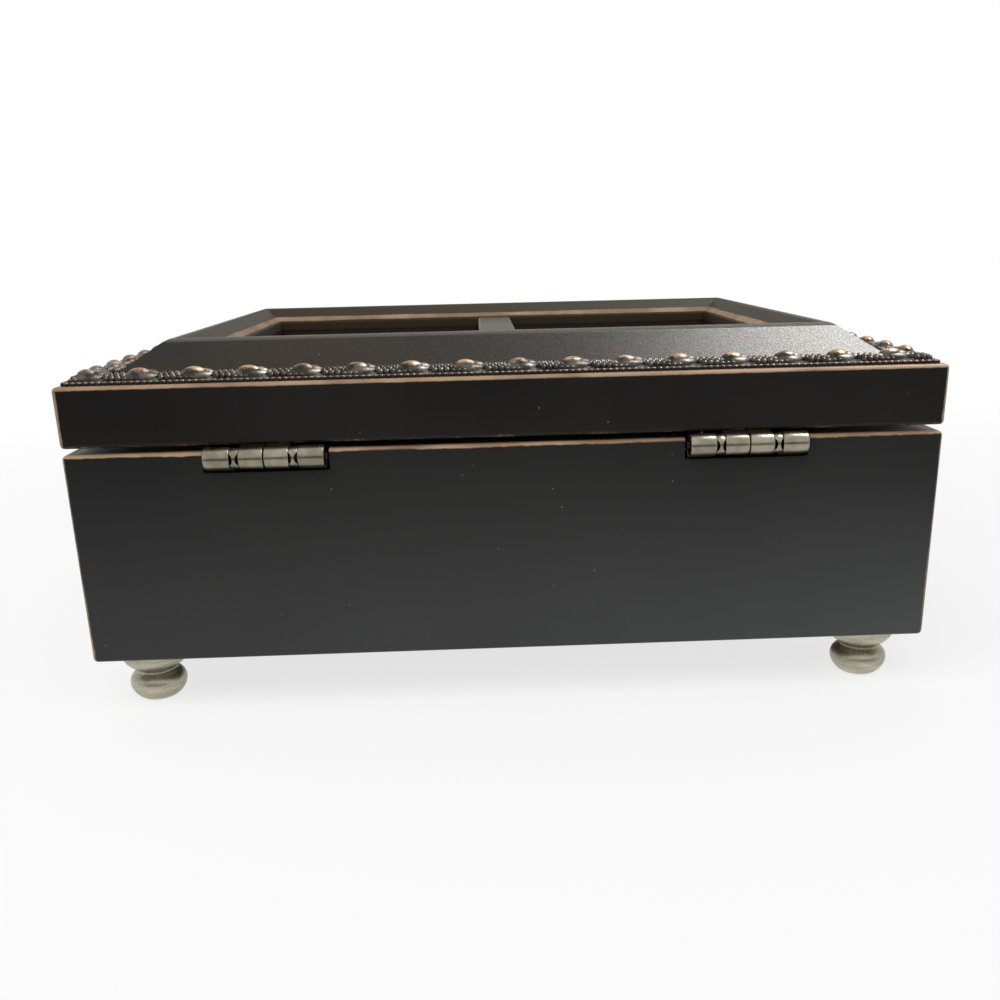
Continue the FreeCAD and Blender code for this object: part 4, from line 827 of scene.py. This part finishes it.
# A leafy rim and the two swells of its oval: x, inward, lift, half length, half width, height
OVALS = ((0, 0, 0.9, 4.9, 3.7, 2.1), (-0.8, -0.3, 1.2, 3.5, 2.5, 2.7),
         (1.6, 0.4, 1.2, 3.1, 2.2, 2.1))
# The beads between two ovals: how far in each row stands, how many it has and how high
BEAD_ROWS = ((4.3, 3, 1.15), (6.3, 4, 1.45), (8.4, 3, 1.6), (10.6, 4, 1.4))
BEAD_PITCH = 1.65


def repeat():
    """One oval in its leafy rim, and the beads to its right, round x = 0."""
    parts = [pointed(x, MID_IN + inward, TOP + lift, *size) for x, inward, lift, *size in OVALS]
    for side in (-1, 1):
        parts.append(pointed(side * 3.9, MID_IN + side * 0.7, TOP + 0.9, 2.1, 1.6, 1.7, 12))
        for step in (-1, 0, 1):
            parts.append(dome(side * 2.6 + step * 1.5, MID_IN + side * 3.2 - side * 0.1 * step,
                              TOP + 1.15, 0.85, 0.7, 0.75))
    for inward, count, height in BEAD_ROWS:
        for k in range(count):
            x = PITCH / 2 + (k - (count - 1) / 2) * BEAD_PITCH
            parts.append(dome(x, inward, TOP + height, 0.86, 1.05, 1.2))
    return joined(parts, "trim_repeat")


unit = repeat()
print("one repeat has", len(unit.data.polygons), "faces")


# %% Four rows, cut at the mitres
def row_of(unit_piece, pitch, count, shift=0):
    """Copy a repeat into a row centred on x = 0, or shifted from there."""
    choose(unit_piece)
    bpy.ops.object.duplicate()
    row = bpy.context.object
    modify(row, "ARRAY", count=count, use_relative_offset=False, use_constant_offset=True,
           constant_offset_displace=(pitch * MM, 0, 0))
    row.location.x = (shift - pitch * (count - 1) / 2) * MM
    return settle(row)


def mitre(row, length):
    """Cut a row's ends at 45 degrees and close them."""
    open_mesh(row)
    for way in (-1, 1):
        bpy.ops.mesh.select_all(action="SELECT")
        bpy.ops.mesh.bisect(
            plane_co=(way * length / 2 * MM, 0, 0), plane_no=(way, 1, 0), clear_outer=True,
        )
    bpy.ops.mesh.select_all(action="SELECT")
    bpy.ops.mesh.fill_holes(sides=0)
    bpy.ops.object.mode_set(mode="OBJECT")


# Each side's length, repeats, shift of the pattern, turn and middle
SIDES = {
    "front": (240, 18, 0, 0, (0, MIDDLE - HALF_Y, 0)),
    "right": (190, 14, 0, 90, (HALF_X, MIDDLE, 0)),
    "back": (240, 18, -2.75, 180, (0, BACK, 0)),
    "left": (190, 14, 0, 270, (-HALF_X, MIDDLE, 0)),
}
STRING_PITCH = 1.7
bead = dome(0, 2.35, TOP + 0.45, 0.66, 0.72, 0.66)
for side, (length, count, shift, turn, place) in SIDES.items():
    row = row_of(unit, PITCH, count, shift)
    mitre(row, length)
    string = row_of(bead, STRING_PITCH, int((length - 4) / STRING_PITCH))
    row = joined([row, string], f"trim_row_{side}")
    row.rotation_euler = (0, 0, math.radians(turn))
    row.location = place
    settle(row)
    close_mesh(row, f"trim_row_{side}", trim_finish, 50)
    fit_out(row, "lid", "rubbed_trim")
for spare in (unit, bead):
    bpy.data.objects.remove(spare)

# %% [markdown]
# ## The feet
#
# Each foot is turned on a lathe: a flared flange against the case, a narrow neck and a
# squashed ball. A filled circle at the sole is extruded from ring to ring of the profile.
# The felt pads that the lid rests on are made in the same way.


# %% Turn a foot
def arc(begin, end, swell, count):
    """Points on a shallow arc between two points of a profile, without the first."""
    dx, dz = end[0] - begin[0], end[1] - begin[1]
    length = math.hypot(dx, dz)
    side = (dz / length, -dx / length)
    found = []
    for k in range(1, count + 1):
        share = k / count
        lift = swell * (1 - (2 * share - 1) ** 2)
        found.append((begin[0] + dx * share + side[0] * lift,
                      begin[1] + dz * share + side[1] * lift))
    return found


def turned(profile, centre, around=48):
    """A solid of revolution from (radius, height) points in millimetres."""
    start()
    radius, height = profile[0]
    bpy.ops.mesh.primitive_circle_add(vertices=around, radius=radius * MM, fill_type="NGON",
                                      location=centre + Vector((0, 0, height * MM)))
    piece = sized()
    for before, after in zip(profile, profile[1:]):
        bpy.ops.mesh.extrude_region_move()
        bpy.ops.transform.translate(value=(0, 0, (after[1] - before[1]) * MM))
        ratio = after[0] / before[0]
        bpy.ops.transform.resize(value=(ratio, ratio, 1), center_override=centre)
    return piece


NECK, FLANGE = (6, 9.6), (10, 14.8)
foot_profile = [
    (4.4, 0), (5.3, 0.35), (6.2, 1.0), (6.95, 1.8), (7.55, 2.7), (7.98, 3.7), (8.2, 4.7),
    (8.15, 5.7), (7.8, 6.7), (7.2, 7.5), (6.5, 8.1), (5.9, 8.4), (5.7, 8.8), (5.75, 9.2),
    NECK, *arc(NECK, FLANGE, 0.9, 6), (10, 15.6), (9.9, 16),
]
for corner in ("front_left", "front_right", "back_left", "back_right"):
    x, y, _ = middle_of(f"foot_{corner}")
    foot = turned(foot_profile, Vector((x, y, 0)))
    close_mesh(foot, f"turned_foot_{corner}", foot_finish, 50)
    fit_out(foot, "case", "champagne_paint", f"foot_{corner}")

# %% Felt pads that the lid rests on
pads_low, pads_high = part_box("lid_bumpers")
PAD_RADIUS = 4
pads = []
for x in (pads_low.x + PAD_RADIUS * MM, pads_high.x - PAD_RADIUS * MM):
    spot = Vector((x, middle_of("lid_bumpers")[1], CASE_TOP))
    pads.append(turned([(3.95, 0), (PAD_RADIUS, 0.3), (PAD_RADIUS, 1.0), (3.7, 1.4),
                        (3.0, 1.6), (1.5, 1.66)], spot, 32))
    bpy.ops.object.mode_set(mode="OBJECT")
pads = joined(pads, "lid_pads")
close_mesh(pads, "lid_pads", felt, 50)
fit_out(pads, "case", "felt", "lid_bumpers")

# %% [markdown]
# ## The hinges
#
# Two nickel hinges lie in the notches. Each leaf is a thin plate whose end is rolled into
# two barrels, the case's outside and the lid's inside, with a pin through all four. The
# barrels are turned shapes with rounded ends, laid along X, and a short neck joins each to
# its plate. A web with a half round notch at each end fills the space between two barrels.


# %% Barrels, plates and pins
def along_x(profile, middle, around=40):
    """A turned shape laid along X with its middle at a point."""
    piece = turned(profile, Vector((0, 0, 0)), around)
    bpy.ops.object.mode_set(mode="OBJECT")
    piece.rotation_euler = (0, math.pi / 2, 0)
    piece.location = middle
    return settle(piece)


# Where the barrels begin and end and where the webs stand, from the hinge's middle in mm
SPANS = {"lower": ((-16.15, -9.05), (9.05, 16.15)), "upper": ((-6.7, -0.1), (0.1, 6.7))}
WEB_AT, BARREL_RADIUS, PIN_RADIUS = 7.875, 3.02, 1.1
PLATE_END, NECK_BEGIN, NECK_END = (PIN_Y - short * MM for short in (3.3, 3.7, 2.1))


def barrel(x_low, x_high):
    """One barrel of a hinge, its ends rounded."""
    half = (x_high - x_low) / 2 / MM
    rounding = ((0.5, 0), (0.2, 0.06), (0.06, 0.16), (0, 0.35))
    profile = [(BARREL_RADIUS - less, -half + up) for less, up in rounding]
    profile += [(radius, -height) for radius, height in reversed(profile)]
    return along_x(profile, Vector(((x_low + x_high) / 2, PIN_Y, PIN_Z)))


def leaf(hand, level):
    """A plate with its two barrels, each on a neck."""
    low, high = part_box(f"hinge_{hand}_{level}_leaf")
    middle = (low.x + high.x) / 2
    upper = level == "upper"
    under = high.z - MM if upper else low.z
    parts = [block((low.x, low.y, under), (high.x, PLATE_END, under + MM))]
    for begin, end in SPANS[level]:
        left, right = middle + begin * MM, middle + end * MM
        parts.append(barrel(left, right))
        foot, head = (PIN_Z, under + 0.9 * MM) if upper else (under + 0.1 * MM, PIN_Z)
        parts.append(block((left, NECK_BEGIN, foot), (right, NECK_END, head), 0.15))
    return joined(parts, f"hinge_{hand}_{level}")


def web(middle):
    """The metal between two barrels: a short barrel with a half round notch at each end."""
    piece = along_x([(2.75, -1.1), (2.8, -1.02), (2.8, 1.02), (2.75, 1.1)],
                    Vector((middle, PIN_Y, PIN_Z)))
    for way in (-1, 1):
        start()
        bpy.ops.mesh.primitive_cylinder_add(
            vertices=24, radius=0.86 * MM, depth=2.4 * MM, rotation=(math.pi / 2, 0, 0),
            location=(middle + way * 1.22 * MM, PIN_Y + 2.3 * MM, PIN_Z),
        )
        subtract(piece, sized((1, 1.75, 1)))
    return piece


for hand in ("left", "right"):
    for level, body in (("lower", "case"), ("upper", "lid")):
        plate = leaf(hand, level)
        close_mesh(plate, plate.name, hinge_nickel, 40)
        fit_out(plate, body, "nickel", f"hinge_{hand}_{level}_leaf")
    low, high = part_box(f"hinge_{hand}_pin")
    middle, _, _ = middle_of(f"hinge_{hand}_lower_leaf")
    reach = (high.x - low.x) / 2 / MM
    parts = [along_x([(PIN_RADIUS, -reach), (PIN_RADIUS, reach)], (low + high) / 2, 24)]
    parts += [web(middle + way * WEB_AT * MM) for way in (-1, 1)]
    pin = joined(parts, f"hinge_{hand}_pin_shown")
    close_mesh(pin, pin.name, hinge_nickel, 40)
    fit_out(pin, "case", "bright_steel", f"hinge_{hand}_pin")

# %% [markdown]
# ## The ring cushion
#
# Seven foam rolls in soft cloth stand side by side, and a ring is pressed between two of
# them. A roll is a pad with a rounded back, so it is blown up a little as cloth: a rounded
# bar is remeshed evenly, its underside is pinned, and pressure pushes the rest outwards.
# The bar is ten times too large while this runs, because the cloth solver is made for
# things the size of a person. The other rolls are copies.

# %% One roll, blown up
BIG = 10
ROLLS, ROLL_PITCH, ROLL_WIDTH = 7, 16.857 * MM, 15 * MM
rolls_low, rolls_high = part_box("ring_rolls")
roll_size = Vector((ROLL_WIDTH, rolls_high.y - rolls_low.y - 3 * MM,
                    rolls_high.z - rolls_low.z - MM))


def remeshed_bar():
    """A long bar with a rounded back and rounded ends, in an even mesh."""
    start()
    bpy.ops.mesh.primitive_cube_add(size=1, location=(0, 0, roll_size.z * BIG / 2))
    bar = sized(roll_size * BIG)
    top = roll_size.z * BIG
    pick_edges(bar, lambda c: all(p.z > top - 1e-4 for p in c) and abs(c[0].x - c[1].x) < 1e-4)
    bpy.ops.mesh.bevel(offset=6.6 * MM * BIG, segments=8, affect="EDGES")
    pick_edges(bar, lambda c: all(abs(abs(p.y) - roll_size.y * BIG / 2) < 1e-4 for p in c)
               and not all(p.z < 1e-4 for p in c))
    bpy.ops.mesh.bevel(offset=2.2 * MM * BIG, segments=3, affect="EDGES")
    bpy.ops.object.mode_set(mode="OBJECT")
    bar.data.remesh_voxel_size = 1.6 * MM * BIG
    bpy.ops.object.voxel_remesh()
    return bar


def blown_up(pad, most):
    """Run the cloth for 20 frames with its underside pinned, and cap how far it moves."""
    before = [v.co.copy() for v in pad.data.vertices]
    pinned = pad.vertex_groups.new(name="underside")
    pinned.add([k for k, co in enumerate(before) if co.z < MM * BIG], 1.0, "REPLACE")
    cloth = pad.modifiers.new("cloth", "CLOTH")
    cloth.settings.vertex_group_mass = "underside"
    cloth.settings.use_pressure = True
    cloth.settings.uniform_pressure_force = 4
    cloth.settings.effector_weights.gravity = 0
    scene = bpy.context.scene
    for number in range(1, 21):
        scene.frame_set(number)
    choose(pad)
    bpy.ops.object.modifier_apply(modifier=cloth.name)
    scene.frame_set(1)
    for vertex, old in zip(pad.data.vertices, before):
        moved = vertex.co - old
        if moved.length > most:
            vertex.co = old + moved * (most / moved.length)
    pad.vertex_groups.clear()
    modify(pad, "SUBSURF", levels=1, render_levels=1)
    return pad


roll = blown_up(remeshed_bar(), 0.9 * MM * BIG)
roll.scale = (1 / BIG,) * 3
settle(roll)
print("one roll has", len(roll.data.polygons), "faces and is", roll.dimensions)

# %% Seven rolls side by side
middle_x, middle_y, _ = middle_of("ring_rolls")
rolls = []
for number in range(ROLLS):
    choose(roll)
    bpy.ops.object.duplicate()
    copy = bpy.context.object
    copy.rotation_euler = (0, 0, math.pi if number % 2 else 0)
    copy.location = (
        middle_x + ROLL_PITCH * (number - (ROLLS - 1) / 2), middle_y, rolls_low.z,
    )
    rolls.append(settle(copy))
bpy.data.objects.remove(roll)
rolls = joined(rolls, "ring_cushion")
close_mesh(rolls, "ring_cushion", cushion, 60)
fit_out(rolls, "case", "cushion_cloth", "ring_rolls")

# %% [markdown]
# ## The solids that stay
#
# The other solids have the right shape already and only need their finish. A finish goes
# on the solid's own material slots, and nothing else about it changes.

# %% Finishes for the other solids
KEPT = (
    (case_paint, "bottom_panel"),
    (lining, "wall_lining floor_lining long_divider movement_divider tray_divider movement_cover"),
    (steel, "foot_studs comb_screws mainspring movement_screws lower_leaf_screws"
            " upper_leaf_screws button_pivots cylinder_arbor worm winding_arbor stop_wire"),
    (brass, "bearing_posts spring_drum governor_frame turn_button_left turn_button_right"
            " note_cylinder great_wheel"),
    (gear_plastic, "cylinder_gear governor_wheel air_brake"),
    (cast_bed, "bedplate"), (comb_steel, "comb"), (nickel, "winding_key"),
    (glass, "glass_panes"), (card, "picture_cards"), (board, "backing_board"),
)
dressed = 0
for finish, nodes in KEPT:
    for node in nodes.split():
        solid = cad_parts[node]
        if not solid.material_slots:
            solid.data.materials.append(finish)
        for slot in solid.material_slots:
            slot.material = finish
        dressed += 1
print(dressed, "solids keep their shape")

# %% [markdown]
# ## Light and ground
#
# Soft studio light and a pale world. One lamp shows only in what shines: its reflection
# lies on the right part of the lid's slope, as in the photograph. The other, on the camera's
# side, gives the plain light. A low dark card behind the camera stands for the dark room: it
# too is only reflected, and gives the lid's back and the hinge barrels their depth. The
# ground and the sky look white to the camera, but the ground still takes the box's shadow.


# %% Ground, world and lamps
def ground():
    """A wide pale floor that is white to the camera and in reflections, and takes the shadow."""
    start()
    bpy.ops.mesh.primitive_plane_add(size=12, location=(0, 0, 0))
    floor = bpy.context.object
    floor.name = "floor"
    finish = Finish("floor")
    finish.set(Base_Color=(0.88, 0.88, 0.88), Roughness=0.95, Specular_IOR_Level=0)
    path = finish.node("LightPath", output="Is Camera Ray")
    rays = path.most(Flow(finish, path.socket.node.outputs["Is Glossy Ray"]))
    away = finish.node("VectorMath", {"operation": "LENGTH"}, {0: finish.spot}, output=1)
    # Near the box a quarter of what is seen is the lit floor, which keeps a faint shadow
    plain = away.step(0.22, 0.6) * 0.25 + 0.75
    glow = finish.node("Emission")
    lit = Flow(finish, finish.shader.outputs[0])
    mixed = finish.node("MixShader", inputs={0: rays * plain, 1: lit, 2: glow})
    out = finish.tree.nodes["Material Output"]
    finish.tree.links.new(mixed.socket, out.inputs["Surface"])
    floor.data.materials.append(finish.material)


def sky(level):
    """A plain world: white to the camera, in reflections and through glass, softer as light."""
    world = bpy.data.worlds.new("studio")
    bpy.context.scene.world = world
    world.use_nodes = True
    tree = world.node_tree
    path = tree.nodes.new("ShaderNodeLightPath")
    seen = path.outputs["Is Camera Ray"]
    for ray in ("Is Glossy Ray", "Is Transmission Ray"):
        either = tree.nodes.new("ShaderNodeMath")
        either.operation = "MAXIMUM"
        tree.links.new(seen, either.inputs[0])
        tree.links.new(path.outputs[ray], either.inputs[1])
        seen = either.outputs[0]
    strength = tree.nodes.new("ShaderNodeMapRange")
    strength.inputs["To Min"].default_value = level
    tree.links.new(seen, strength.inputs["Value"])
    back = tree.nodes["Background"]
    back.inputs["Color"].default_value = (1, 1, 1, 1)
    tree.links.new(strength.outputs[0], back.inputs["Strength"])


def dark_card():
    """A low dark card behind the camera, seen only in what shines, as the room was."""
    start()
    bpy.ops.mesh.primitive_plane_add(size=1, location=(0, 0.47, 0.07),
                                     rotation=(math.pi / 2, 0, 0))
    card_board = sized((1.6, 0.14, 1))
    bpy.ops.object.mode_set(mode="OBJECT")
    card_board.name = "dark_card"
    finish = Finish("dark_card")
    finish.set(Base_Color=(0.01, 0.01, 0.01), Roughness=1.0, Specular_IOR_Level=0)
    card_board.data.materials.append(finish.material)
    for ray in ("camera", "diffuse", "transmission", "shadow"):
        setattr(card_board, f"visible_{ray}", False)


def lamp(name, place, aim, width, height, watts):
    """A soft rectangular lamp that faces a point."""
    light = bpy.data.lights.new(name, "AREA")
    light.shape = "RECTANGLE"
    light.size, light.size_y, light.energy = width, height, watts
    holder = bpy.data.objects.new(name, light)
    bpy.context.scene.collection.objects.link(holder)
    holder.location = place
    holder.rotation_euler = (Vector(aim) - Vector(place)).to_track_quat("-Z", "Y").to_euler()
    return holder


ground()
dark_card()
sky(0.55)
sheen = lamp("sheen", (-0.62, -0.20, 1.05), (-0.05, 0, 0.09), 0.55, 0.6, 24)
sheen.visible_diffuse = False
key = lamp("key", (0.35, 0.75, 1.3), (0, 0, 0.05), 1.2, 1.0, 13)
key.visible_glossy = False
bpy.context.scene.view_settings.view_transform = "Standard"
